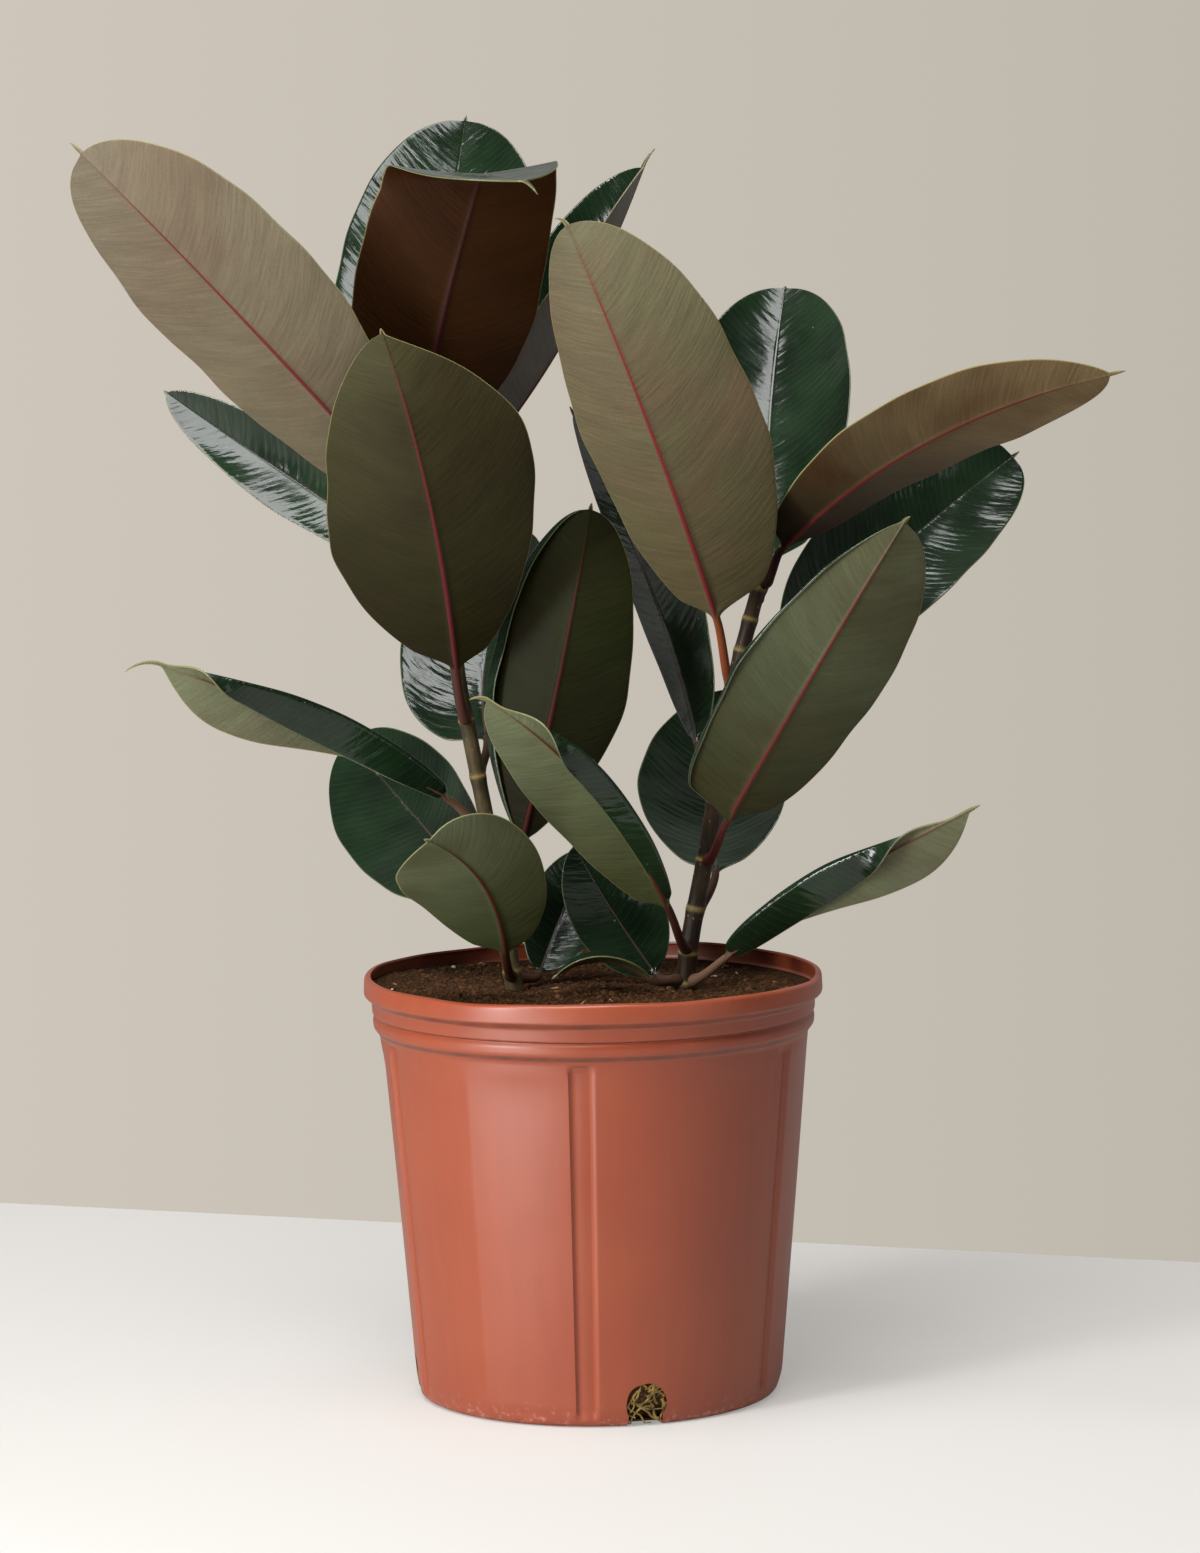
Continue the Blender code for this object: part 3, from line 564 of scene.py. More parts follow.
def perlite():
    """Expanded volcanic glass: dull off-white, finely pitted."""
    material, tree, shader = new_material("perlite, expanded", {"Roughness": 0.85})
    place = add_node(tree, "ShaderNodeTexCoord").outputs["Object"]
    pits = add_node(
        tree, "ShaderNodeTexNoise", inputs={"Vector": place, "Scale": 1 / (0.8 * MM), "Detail": 3}
    )
    colour = add_node(tree, "ShaderNodeMix", MIX, {0: pits, 6: linear("#a89a86"), 7: linear("#e8dfd0")})
    bump = add_node(tree, "ShaderNodeBump", inputs={"Height": pits, "Distance": 0.3 * MM})
    tree.links.new(colour.outputs[2], shader.inputs["Base Color"])
    tree.links.new(bump.outputs[0], shader.inputs["Normal"])
    return material


def bark():
    """Composted pine bark: tan to red-brown, streaked along the flake."""
    material, tree, shader = new_material("pine bark, composted", {"Roughness": 0.8})
    place = add_node(tree, "ShaderNodeTexCoord").outputs["Object"]
    tone = add_node(tree, "ShaderNodeAttribute", dict(attribute_name="tone"))
    streak = add_node(
        tree, "ShaderNodeTexNoise", inputs={"Vector": place, "Scale": 1 / (1.2 * MM), "Detail": 4}
    )
    body = add_node(
        tree, "ShaderNodeMix", MIX, {0: tone.outputs["Fac"], 6: linear("#5c2f1c"), 7: linear("#a07448")}
    )
    worn = add_node(tree, "ShaderNodeMapRange", inputs={0: streak, 1: 0.3, 2: 0.7, 3: 0.6, 4: 1.25})
    colour = add_node(tree, "ShaderNodeMix", MULTIPLY, {0: 1.0, 6: body, 7: worn})
    tree.links.new(colour.outputs[2], shader.inputs["Base Color"])
    return material


strew("mix_crumbs", crumb_grain, mix_material,
      {"Per square metre": 72000.0, "Smallest": 0.5 * MM, "Largest": 1.5 * MM, "Sunk": 0.1 * MM,
       "Roughened": 1.1 * MM, "Tilt": 1.0, "Seed": 3})
strew("mix_lumps", lump_grain, mix_material,
      {"Per square metre": 6500.0, "Smallest": 1.4 * MM, "Largest": 3.1 * MM, "Sunk": 0.8 * MM,
       "Roughened": 2.6 * MM, "Tilt": 1.0, "Seed": 5})
strew("mix_fibres", fibre_grain, mix_material,
      {"Per square metre": 17000.0, "Smallest": 0.35 * MM, "Largest": 0.95 * MM, "Sunk": -0.3 * MM,
       "Roughened": 1.2 * MM, "Tilt": 0.4, "Seed": 9})
strew("mix_perlite", lump_grain, perlite(),
      {"Per square metre": 130.0, "Smallest": 0.7 * MM, "Largest": 1.6 * MM, "Sunk": -0.3 * MM,
       "Roughened": 1.4 * MM, "Tilt": 1.0, "Seed": 21})
strew("mix_bark", flake_grain, bark(),
      {"Per square metre": 1500.0, "Smallest": 0.5 * MM, "Largest": 1.4 * MM, "Sunk": -0.4 * MM,
       "Roughened": 1.0 * MM, "Tilt": 0.5, "Seed": 14}, smooth=False)

ROOT_COUNT = 30
ROOT_STEPS = 9
ROOT_STRIDE = 2.6
ROOT_SPREAD = 13.0
ROOT_LOW = 1.5
ROOT_TOP = 24.0
ROOT_THICK = (0.45, 1.05)


def root_skin():
    """Living roots: yellow-brown with paler new growth."""
    material, tree, shader = new_material("root, living", {"Roughness": 0.6})
    place = add_node(tree, "ShaderNodeTexCoord").outputs["Object"]
    patch = add_node(
        tree, "ShaderNodeTexNoise", inputs={"Vector": place, "Scale": 1 / (5 * MM), "Detail": 3}
    )
    share = add_node(tree, "ShaderNodeMapRange", inputs={0: patch, 1: 0.35, 2: 0.65})
    colour = add_node(tree, "ShaderNodeMix", MIX, {0: share, 6: linear("#4a3412"), 7: linear("#a08640")})
    bump = add_node(tree, "ShaderNodeBump", inputs={"Height": patch, "Distance": 0.3 * MM})
    tree.links.new(colour.outputs[2], shader.inputs["Base Color"])
    tree.links.new(bump.outputs[0], shader.inputs["Normal"])
    return material


def drain_roots():
    """Roots that have grown to each drain hole and turned along the wall, as tapering tubes."""
    chance = np.random.default_rng(4)
    curve = bpy.data.curves.new("drain_roots", "CURVE")
    curve.dimensions = "3D"
    curve.bevel_depth = 1 * MM
    curve.bevel_resolution = 2
    curve.use_fill_caps = True
    plain_wall = np.array([corner[:2] for corner in POT_OUTER[11:8:-1]])
    for hole in DRAIN_HOLES:
        for number in range(ROOT_COUNT):
            across = chance.uniform(-ROOT_SPREAD, ROOT_SPREAD)
            up = chance.uniform(ROOT_LOW, ROOT_TOP)
            way = chance.uniform(0, 2 * pi)
            thick = chance.uniform(*ROOT_THICK)
            line = curve.splines.new("POLY")
            line.points.add(ROOT_STEPS - 1)
            for step, point in enumerate(line.points):
                wall = np.interp(up, plain_wall[:, 1], plain_wall[:, 0]) + pot_swell(hole, up)
                angle = radians(hole) + across / wall
                reach = wall - 0.8 - 0.6 * number / ROOT_COUNT - 0.8 * thick
                point.co = (reach * sin(angle) * MM, -reach * cos(angle) * MM, up * MM, 1)
                point.radius = thick * (1 - 0.6 * step / ROOT_STEPS)
                way += chance.uniform(-0.55, 0.55)
                across += ROOT_STRIDE * cos(way)
                up = max(ROOT_LOW, up + ROOT_STRIDE * sin(way))
    return curve


roots = baked(shown("drain_roots", drain_roots(), root_skin()))
roots.data.shade_smooth()
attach(roots, "root")

# ---------------------------------------------------------------------------------------------
# Stems. Two upright canes: green-brown young wood with fine length-wise lines, small pale
# lenticels, and at each node a slight swelling below a thin ring scar left by the leaf sheath.

STEM_SIDES = 32
STEM_STEP = 1.6
STEM_BURIED = 40.0
STEM_BUD = 16.0
NODE_SWELL = 0.42
SCAR_HIGH = 0.22
STEMS = {
    "stem_left": dict(
        points=[(-46, 2, 236), (-54, 1, 292), (-61, 0, 337), (-70, 0, 387), (-77, 0, 428), (-83, 4, 496)],
        foot=5.2,
        top=4.0,
        nodes=[250, 266, 283, 303, 336, 366, 399, 444, 463, 482],
        colours=("#352e1c", "#5c4e34"),
    ),
    "stem_right": dict(
        points=[(53, 0, 236), (57, 0, 267), (65, 0, 308), (71, 0, 341), (85, 0, 420), (104, 2, 490)],
        foot=5.6,
        top=4.2,
        nodes=[242, 260, 286, 315, 350, 382, 416, 438, 456, 474],
        colours=("#1e1610", "#3c2c1c"),
    ),
}


def smooth_route(points, steps):
    """Points on a Catmull-Rom curve through the given ones."""
    knots = [np.array(point, float) for point in points]
    knots = [2 * knots[0] - knots[1], *knots, 2 * knots[-1] - knots[-2]]
    route = []
    for before, first, second, after in zip(knots, knots[1:], knots[2:], knots[3:]):
        for t in np.linspace(0, 1, steps, endpoint=False):
            route.append(0.5 * (2 * first + (second - before) * t
                                + (2 * before - 5 * first + 4 * second - after) * t**2
                                + (3 * first - before - 3 * second + after) * t**3))
    route.append(knots[-2])
    return np.array(route)


def even_route(route, step):
    """The route with points a step apart."""
    lengths = np.concatenate([[0], np.cumsum(np.linalg.norm(np.diff(route, axis=0), axis=1))])
    wanted = np.linspace(0, lengths[-1], int(lengths[-1] / step) + 1)
    return np.stack([np.interp(wanted, lengths, route[:, axis]) for axis in range(3)], axis=1)


def unit(vectors):
    vectors = np.asarray(vectors, float)
    return vectors / np.linalg.norm(vectors, axis=-1, keepdims=True)


def add_values(mesh, **values):
    """Stores one number a point, for the materials to read."""
    for name, numbers in values.items():
        store = mesh.attributes.new(name, "FLOAT", "POINT")
        store.data.foreach_set("value", np.asarray(numbers, np.float32).ravel())


def make_cane(name, stem):
    """The cane's skin, with its ring scars, its low ridges and the pointed sheath at its tip."""
    foot = np.array(stem["points"][0], float)
    heading = unit(np.array(stem["points"][1], float) - foot)
    route = np.concatenate([[foot - heading * STEM_BURIED], smooth_route(stem["points"], 12)])
    tip_way = unit(route[-1] - route[-4])
    route = even_route(np.concatenate([route, [route[-1] + tip_way * STEM_BUD]]), STEM_STEP)
    along = unit(np.gradient(route, axis=0))
    side = unit(np.cross(along, (0.0, 1.0, 0.0)))
    front = np.cross(side, along)
    height = route[:, 2]
    grown = np.clip((height - foot[2]) / (stem["points"][-1][2] - foot[2]), 0, 1)
    radius = stem["foot"] + (stem["top"] - stem["foot"]) * grown
    scar = np.zeros(len(route))
    for node in stem["nodes"]:
        away = height - node
        radius = radius + NODE_SWELL * np.exp(-((away + 1.5) ** 2) / 9)
        radius = radius + SCAR_HIGH * np.exp(-(away**2) / 0.9)
        scar = np.maximum(scar, np.exp(-(away**2) / 1.1))
    left = np.linalg.norm(route - route[-1], axis=1)
    radius = radius * np.clip(left / (STEM_BUD + 4), 0.02, 1) ** 0.65
    turn = np.arange(STEM_SIDES)[None, :] * 2 * pi / STEM_SIDES
    up = height[:, None]
    ridges = 1 + 0.02 * np.sin(4 * turn + up / 30) + 0.012 * np.sin(9 * turn - up / 17)
    reach = (radius[:, None] * ridges)[:, :, None]
    points = route[:, None, :] + reach * (np.cos(turn)[:, :, None] * side[:, None, :]
                                          + np.sin(turn)[:, :, None] * front[:, None, :])
    mesh = closed_skin(name, points * MM)
    ones = np.ones((1, STEM_SIDES))
    add_values(mesh, scar=scar[:, None] * ones, bud=smooth_step(STEM_BUD + 6 - left, 0, 8)[:, None] * ones)
    return mesh


def cane_bark(name, colours):
    """Young ficus bark: satin skin with fine upright lines, lenticels 1 mm long and yellowish scars."""
    material, tree, shader = new_material(name, {"Specular IOR Level": 0.25})
    place = add_node(tree, "ShaderNodeTexCoord").outputs["Object"]
    scar = add_node(tree, "ShaderNodeAttribute", dict(attribute_name="scar")).outputs["Fac"]
    bud = add_node(tree, "ShaderNodeAttribute", dict(attribute_name="bud")).outputs["Fac"]
    long_way = add_node(tree, "ShaderNodeMapping", inputs={"Vector": place, "Scale": (1, 1, 0.12)})
    lines = add_node(
        tree, "ShaderNodeTexNoise", inputs={"Vector": long_way, "Scale": 1 / (1.4 * MM), "Detail": 4}
    )
    patch = add_node(
        tree, "ShaderNodeTexNoise", inputs={"Vector": place, "Scale": 1 / (22 * MM), "Detail": 3}
    )
    share = add_node(tree, "ShaderNodeMapRange", inputs={0: patch, 1: 0.35, 2: 0.65})
    base = add_node(tree, "ShaderNodeMix", MIX, {0: share, 6: linear(colours[0]), 7: linear(colours[1])})
    shade = add_node(tree, "ShaderNodeMapRange", inputs={0: lines, 1: 0.3, 2: 0.7, 3: 0.78, 4: 1.2})
    lined = add_node(tree, "ShaderNodeMix", MULTIPLY, {0: 1.0, 6: base, 7: shade})
    spot_way = add_node(tree, "ShaderNodeMapping", inputs={"Vector": place, "Scale": (1, 1, 0.6)})
    spots = add_node(tree, "ShaderNodeTexVoronoi", inputs={"Vector": spot_way, "Scale": 1 / (3.6 * MM)})
    spot = add_node(
        tree, "ShaderNodeMapRange", inputs={0: spots.outputs["Distance"], 1: 0.15, 2: 0.09, 4: 0.5}
    )
    spotted = add_node(tree, "ShaderNodeMix", MIX, {0: spot, 6: lined, 7: linear("#a08c68")})
    scarred = add_node(tree, "ShaderNodeMix", MIX, {0: scar, 6: spotted, 7: linear("#8f7a45")})
    tipped = add_node(tree, "ShaderNodeMix", MIX, {0: bud, 6: scarred, 7: linear("#6a1f22")})
    rough = add_node(tree, "ShaderNodeMapRange", inputs={0: lines, 1: 0.3, 2: 0.7, 3: 0.4, 4: 0.62})
    bump = add_node(
        tree, "ShaderNodeBump", inputs={"Height": lines, "Strength": 0.35, "Distance": 0.35 * MM}
    )
    tree.links.new(tipped.outputs[2], shader.inputs["Base Color"])
    tree.links.new(rough.outputs[0], shader.inputs["Roughness"])
    tree.links.new(bump.outputs[0], shader.inputs["Normal"])
    return material


for name, stem in STEMS.items():
    label = "ficus bark, green-brown" if name == "stem_left" else "ficus bark, dark brown"
    cane = shown(f"{name}_cane", make_cane(name, stem), cane_bark(label, stem["colours"]))
    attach(cane, "root")
    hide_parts(name)

# ---------------------------------------------------------------------------------------------
# Leaves. Thick leathery blades of 150 to 280 mm: glossy dark green above, matt and flushed with
# burgundy, tan or olive below, with a crimson midrib, fine side veins, a pale margin and a drawn-out
# drip tip. Each grew as one piece with the stalk that joins it to its cane.

BLADE = 0.95
MIDRIB_HIGH = 1.7
MIDRIB_WIDE = 1.7
GROOVE = 0.35
STALK_FOOT = 2.9
STALK_TOP = 2.3
STALK_ROWS = 30
ROW_STEP = 1.35
DRIP_ROWS = 16
DRIP_HALF = 1.25
VEIN_CURVE = 0.004
VEIN_PITCH = 4.6
VEIN_LEAN = (0.08, 0.62)
FINE_CUTS = 96
MARGIN_FROM = 0.965
STALK_SUNK = 0.55
STALK_PULL = 0.35
STALK_FLARE = 0.9


@dataclass
class Leaf:
    """One leaf, in millimetres and degrees.

    midrib is (base, bend, tip) of the curve along the blade, and faces is the way that the glossy
    upper side looks. Pairs are (left, right) halves, seen from the upper side with the tip up.
    """

    name: str
    grows_from: tuple
    midrib: tuple
    faces: tuple
    half: tuple
    fold: tuple = (12, 12)
    curl: tuple = (10, 10)
    widest: tuple = (0.5, 0.5)
    fullness: tuple = (0.6, 0.6)
    twist: float = 0
    taper: tuple = (None, None)  # fullness between the widest place and the tip, where it differs
    rolled: tuple = (None, None)  # (degrees, from, to) across a half whose margin rolls under
    roll_fades: tuple = (1.0, 1.1)  # where along the leaf the rolled margin opens out again
    turned_down: tuple = None  # (degrees, along, radius, skew) of a tip that folds under
    tone: str = "olive"
    drip: float = 6
    hook: tuple = (0, 0)  # degrees that the drip tip turns: to the left, and under
    wave: float = 1.0


LEAVES = [
    Leaf(
        "upper_left_long",
        grows_from=(-84, -3, 463),
        midrib=((-101, -22, 528), (-189, -107, 638), (-282, -83, 731)),
        faces=(0.25, 0.9, 0.3),
        half=(54, 52),
        fold=(8, 8),
        curl=(10, 12),
        widest=(0.57, 0.56),
        fullness=(0.55, 0.36),
        tone="tan",
        drip=9,
        hook=(0, 10),
    ),
    Leaf(
        "top_left_glossy",
        grows_from=(-84, 10, 492),
        midrib=((-93, 65, 550), (-87, 124, 646), (-71, 155, 747)),
        faces=(-0.15, -0.95, 0.2),
        half=(66, 68),
        curl=(-20, 24),
        fullness=(0.5, 0.5),
        drip=4,
    ),
    Leaf(
        "top_brown",
        grows_from=(-87, -1, 496),
        midrib=((-96, -14, 569), (-82, -53, 645), (-40, -38, 771)),
        faces=(-0.05, 0.95, 0.1),
        half=(52, 56),
        fold=(5, 5),
        curl=(6, 6),
        fullness=(0.42, 0.42),
        turned_down=(98, 0.745, 6, -19),
        tone="burgundy",
        drip=15,
        hook=(20, 60),
    ),
    Leaf(
        "upper_mid_narrow",
        grows_from=(-77, 8, 492),
        midrib=((-64, 18, 550), (-3, 22, 619), (35, 28, 718)),
        faces=(-0.9, -0.3, 0.35),
        half=(42, 42),
        fold=(40, 40),
        curl=(14, 14),
        twist=30,
        tone="grey",
        drip=14,
        hook=(-40, 0),
    ),
    Leaf(
        "front_left_big",
        grows_from=(-73, -6, 399),
        midrib=((-77, -25, 430), (-83, -113, 535), (-114, -97, 628)),
        faces=(0, 0.95, 0.2),
        half=(65, 66),
        fold=(10, 10),
        curl=(16, 18),
        widest=(0.58, 0.36),
        fullness=(0.5, 1.2),
        taper=(1.15, 0.52),
        tone="moss",
        drip=3,
    ),
    Leaf(
        "center_big",
        grows_from=(82, -6, 415),
        midrib=((74, -32, 459), (39, -116, 575), (-9, -80, 687)),
        faces=(0.12, 0.95, 0.15),
        half=(63, 44),
        fold=(10, 14),
        curl=(14, 14),
        widest=(0.46, 0.5),
        fullness=(0.5, 0.5),
        tone="khaki",
        drip=9,
        hook=(-70, 0),
    ),
    Leaf(
        "right_dark",
        grows_from=(99, 8, 466),
        midrib=((106, 30, 485), (105, 78, 568), (121, 134, 644)),
        faces=(-0.18, -0.81, 0.55),
        half=(50, 56),
        fold=(10, 10),
        curl=(26, 26),
        fullness=(0.5, 0.5),
        drip=2,
    ),
    Leaf(
        "right_long_brown",
        grows_from=(105, -3, 476),
        midrib=((113, -13, 498), (182, -116, 576), (295, -106, 600)),
        faces=(-0.3, 0.75, 0.6),
        half=(46, 36),
        fullness=(0.5, 0.5),
        taper=(0.45, 0.8),
        tone="rust",
        drip=9,
    ),
    Leaf(
        "behind_stem_left",
        grows_from=(-65, 6, 367),
        midrib=((-61, 25, 385), (-72, 92, 426), (-38, 110, 502)),
        faces=(-0.39, -0.71, 0.59),
        half=(53, 46),
        fold=(8, 8),
        curl=(22, 22),
        fullness=(0.5, 0.5),
    ),
    Leaf(
        "center_dark",
        grows_from=(-51, -4, 302),
        midrib=((-41, -12, 326), (-17, -34, 419), (2, -18, 522)),
        faces=(0.1, 0.95, 0.1),
        half=(42, 52),
        fold=(14, 14),
        curl=(10, 4),
        fullness=(1.05, 1.0),
        taper=(0.5, 0.5),
        rolled=(None, (-160, 0.78, 0.88)),
        tone="dark",
        drip=4,
    ),
    Leaf(
        "center_right_narrow",
        grows_from=(70, 6, 349),
        midrib=((63, 25, 381), (47, 65, 462), (-7, 57, 573)),
        faces=(-0.23, -0.97, 0.08),
        half=(24, 40),
        fold=(-50, 30),
        curl=(8, 14),
    ),
    Leaf(
        "diagonal_front",
        grows_from=(54, -6, 262),
        midrib=((44, -35, 291), (7, -95, 378), (-58, -88, 419)),
        faces=(0.05, 0.95, 0.3),
        half=(30, 36),
        fold=(8, 8),
        curl=(4, 10),
        fullness=(0.5, 0.5),
        taper=(2.2, 0.5),
        rolled=((-190, 0.36, 0.56), None),
        roll_fades=(0.55, 0.95),
        tone="fresh",
        drip=11,
        hook=(-60, 10),
    ),
    Leaf(
        "low_left_round",
        grows_from=(-49, -5, 247),
        midrib=((-51, -28, 265), (-54, -78, 321), (-92, -116, 342)),
        faces=(-0.05, 0.8, 0.4),
        half=(37, 47),
        fold=(8, 8),
        curl=(14, 14),
        widest=(0.55, 0.55),
        fullness=(0.42, 0.42),
        tone="fresh",
        drip=4,
    ),
    Leaf(
        "left_low_long",
        grows_from=(-67, -3, 336),
        midrib=((-82, -12, 353), (-155, -68, 406), (-245, -68, 440)),
        faces=(-0.1, 0.9, 0.1),
        half=(38, 25),
        fold=(5, 5),
        curl=(0, 10),
        widest=(0.45, 0.74),
        fullness=(0.6, 1.1),
        taper=(1.5, 1.1),
        rolled=((-190, 0.3, 0.5), None),
        roll_fades=(0.72, 1.0),
        tone="pale",
        drip=22,
        hook=(-60, 10),
    ),
    Leaf(
        "right_front",
        grows_from=(69, -6, 314),
        midrib=((79, -30, 341), (130, -120, 442), (179, -102, 518)),
        faces=(-0.1, 0.95, 0.15),
        half=(48, 43),
        fold=(14, 10),
        curl=(14, 4),
        widest=(0.5, 0.37),
        fullness=(0.42, 0.34),
        taper=(0.42, 0.85),
        rolled=(None, (-150, 0.9, 0.97)),
        tone="sage",
        drip=5,
        hook=(30, 0),
    ),
    Leaf(
        "left_mid_dark",
        grows_from=(-56, 7, 283),
        midrib=((-69, 30, 294), (-106, 110, 330), (-148, 158, 370)),
        faces=(-0.47, -0.65, 0.60),
        half=(46, 40),
        curl=(-18, 20),
        fullness=(0.55, 0.55),
    ),
    Leaf(
        "left_upper_small",
        grows_from=(-81, 7, 445),
        midrib=((-93, 30, 485), (-172, 87, 532), (-251, 106, 587)),
        faces=(-0.33, -0.93, 0.18),
        half=(26, 24),
        fold=(35, 15),
        drip=3,
    ),
    Leaf(
        "behind_right_stem",
        grows_from=(63, 6, 284),
        midrib=((73, 30, 303), (75, 110, 337), (89, 158, 399)),
        faces=(-0.05, -0.60, 0.80),
        half=(50, 48),
        fold=(8, 8),
        curl=(12, 24),
    ),
    Leaf(
        "right_low",
        grows_from=(59, -4, 243),
        midrib=((77, -15, 258), (138, -48, 308), (217, -70, 350)),
        faces=(0.1, 0.9, 0.2),
        half=(25, 38),
        fold=(5, 5),
        curl=(10, 0),
        widest=(0.72, 0.42),
        fullness=(1, 0.6),
        taper=(1, 2.4),
        rolled=(None, (-190, 0.3, 0.5)),
        roll_fades=(0.55, 0.95),
        tone="pale",
        drip=7,
    ),
    Leaf(
        "low_center_right",
        grows_from=(49, 5, 243),
        midrib=((37, 16, 245), (11, 26, 279), (-10, 14, 322)),
        faces=(-0.06, -1.00, -0.06),
        half=(26, 34),
        fold=(16, 16),
    ),
    Leaf(
        "low_center_left",
        grows_from=(-43, 7, 245),
        midrib=((-32, 18, 246), (-19, 46, 280), (-1, 56, 314)),
        faces=(0, -0.95, 0.3),
        half=(22, 28),
        fold=(16, 16),
    ),
    Leaf(
        "right_back",
        grows_from=(89, 7, 418),
        midrib=((122, 42, 430), (172, 120, 480), (260, 168, 539)),
        faces=(0.25, -0.8, 0.5),
        half=(44, 44),
        fold=(8, 8),
        curl=(26, 26),
        fullness=(0.42, 0.42),
    ),
    Leaf(
        "low_flat",
        grows_from=(49, -4, 244),
        midrib=((33, -16, 247), (4, -24, 269), (-21, -24, 251)),
        faces=(0, 0.03, 0.95),
        half=(15, 15),
        fold=(10, 10),
        drip=4,
    ),
]


def turned(vectors, axes, angles):
    """Vectors turned about unit axes, row by row."""
    angles = np.asarray(angles, float)[..., None]
    return (vectors * np.cos(angles) + np.cross(axes, vectors) * np.sin(angles)
            + axes * np.sum(axes * vectors, axis=-1, keepdims=True) * (1 - np.cos(angles)))


def midrib_at(leaf, u):
    """(place, along, up, side) of the midrib at each u."""
    base, bend, tip = (np.array(point, float) for point in leaf.midrib)
    u = np.atleast_1d(u)[:, None]
    place = (1 - u) ** 2 * base + 2 * u * (1 - u) * bend + u * u * tip
    along = unit((1 - u) * (bend - base) + u * (tip - bend))
    faces = unit(leaf.faces)
    up = unit(faces - np.sum(faces * along, axis=1, keepdims=True) * along)
    up = turned(up, along, radians(leaf.twist) * (u[:, 0] - 0.5))
    return place, along, up, np.cross(along, up)


def midrib_rows(leaf):
    """The midrib with its drip tip: (u, drip share, place, up, side)."""
    length = np.linalg.norm(np.diff(np.array(leaf.midrib, float), axis=0), axis=1).sum()
    even = np.linspace(0, 1, int(length / ROW_STEP))
    u = 0.72 * even + 0.28 * (1 - np.cos(pi * even)) / 2
    place, along, up, side = midrib_at(leaf, u)
    share = np.linspace(0, 1, DRIP_ROWS + 1)[1:]
    ways = turned(np.repeat(along[-1:], DRIP_ROWS, 0), up[-1], np.radians(leaf.hook[0]) * share)
    ways = turned(ways, side[-1], -np.radians(leaf.hook[1]) * share)
    drip_place = place[-1] + np.cumsum(ways, axis=0) * leaf.drip / DRIP_ROWS
    drip_up = unit(up[-1] - np.sum(up[-1] * ways, axis=1, keepdims=True) * ways)
    place = np.concatenate([place, drip_place])
    along = np.concatenate([along, ways])
    up = np.concatenate([up, drip_up])
    blank = np.zeros(len(u))
    return (np.concatenate([u, np.ones(DRIP_ROWS)]), np.concatenate([blank, share]),
            place, up, np.cross(along, up))


def spread(u, widest, fullness, taper):
    """How wide the blade is at u, as a share of its widest."""
    t = np.clip(u, 0, 1) ** (log(0.5) / log(widest))
    return np.maximum(0, 4 * t * (1 - t)) ** np.where(t < 0.5, fullness, taper or fullness)


def columns_of(rolled):
    """Shares across a half with points: close beside the midrib, at the margin and in a roll."""
    shares = (np.arange(1, 17) / 16) ** 1.5 * MARGIN_FROM
    if rolled:
        shares = np.concatenate([shares, np.linspace(rolled[1], rolled[2], 12)])
    return np.concatenate([np.unique(np.round(shares, 4)), [0.988, 1.0]])


def half_section(leaf, index, u, width, shares):
    """(out, rise, slope) across one half, for each row and share."""
    cuts = (np.arange(FINE_CUTS) + 0.5) / FINE_CUTS
    rolled = leaf.rolled[index]
    opened = 1 - smooth_step(u, *leaf.roll_fades)[:, None]

    def slope_at(share):
        away = share * width[:, None] / leaf.half[index]
        slope = radians(leaf.fold[index]) + radians(leaf.curl[index]) * away
        if rolled:
            turning = np.clip((share - rolled[1]) / (rolled[2] - rolled[1]), 0, 1)
            slope = slope + radians(rolled[0]) * opened * turning
        return slope

    slopes = slope_at(cuts[None, :])
    step = width[:, None] / FINE_CUTS
    start = np.zeros((len(width), 1))
    out = np.concatenate([start, np.cumsum(np.cos(slopes) * step, axis=1)], axis=1)
    rise = np.concatenate([start, np.cumsum(np.sin(slopes) * step, axis=1)], axis=1)
    index_at = shares * FINE_CUTS
    low = np.minimum(index_at.astype(int), FINE_CUTS - 1)
    part = index_at - low
    return (out[:, low] * (1 - part) + out[:, low + 1] * part,
            rise[:, low] * (1 - part) + rise[:, low + 1] * part,
            slope_at(shares[None, :]))


def fold_under(leaf, points):
    """The points after the blade is bent round a rod that lies across it."""
    degrees, start, radius, skew = leaf.turned_down
    place, along, up, side = (value[0] for value in midrib_at(leaf, start))
    onward = turned(along, up, radians(skew))
    across = turned(side, up, radians(skew))
    offset = points - place
    reach = offset @ onward
    height = offset @ up
    angle = np.clip(reach / radius, 0, radians(degrees))
    beyond = (reach - radius * angle)[..., None]
    turn_sin = np.sin(angle)[..., None]
    turn_cos = np.cos(angle)[..., None]
    bent = (place + across * (offset @ across)[..., None]
            + (radius + height)[..., None] * (turn_sin * onward + turn_cos * up)
            - radius * up
            + beyond * (turn_cos * onward - turn_sin * up))
    return np.where((reach > 0)[..., None], bent, points)


def nearest_axis(point):
    """The point on the nearer cane's centre line at this height."""
    found = []
    for stem in STEMS.values():
        line = np.array(stem["points"], float)
        found.append(np.array([np.interp(point[2], line[:, 2], line[:, axis]) for axis in range(3)]))
    found = [np.array([spot[0], spot[1], point[2]]) for spot in found]
    return min(found, key=lambda spot: np.linalg.norm(spot - point))


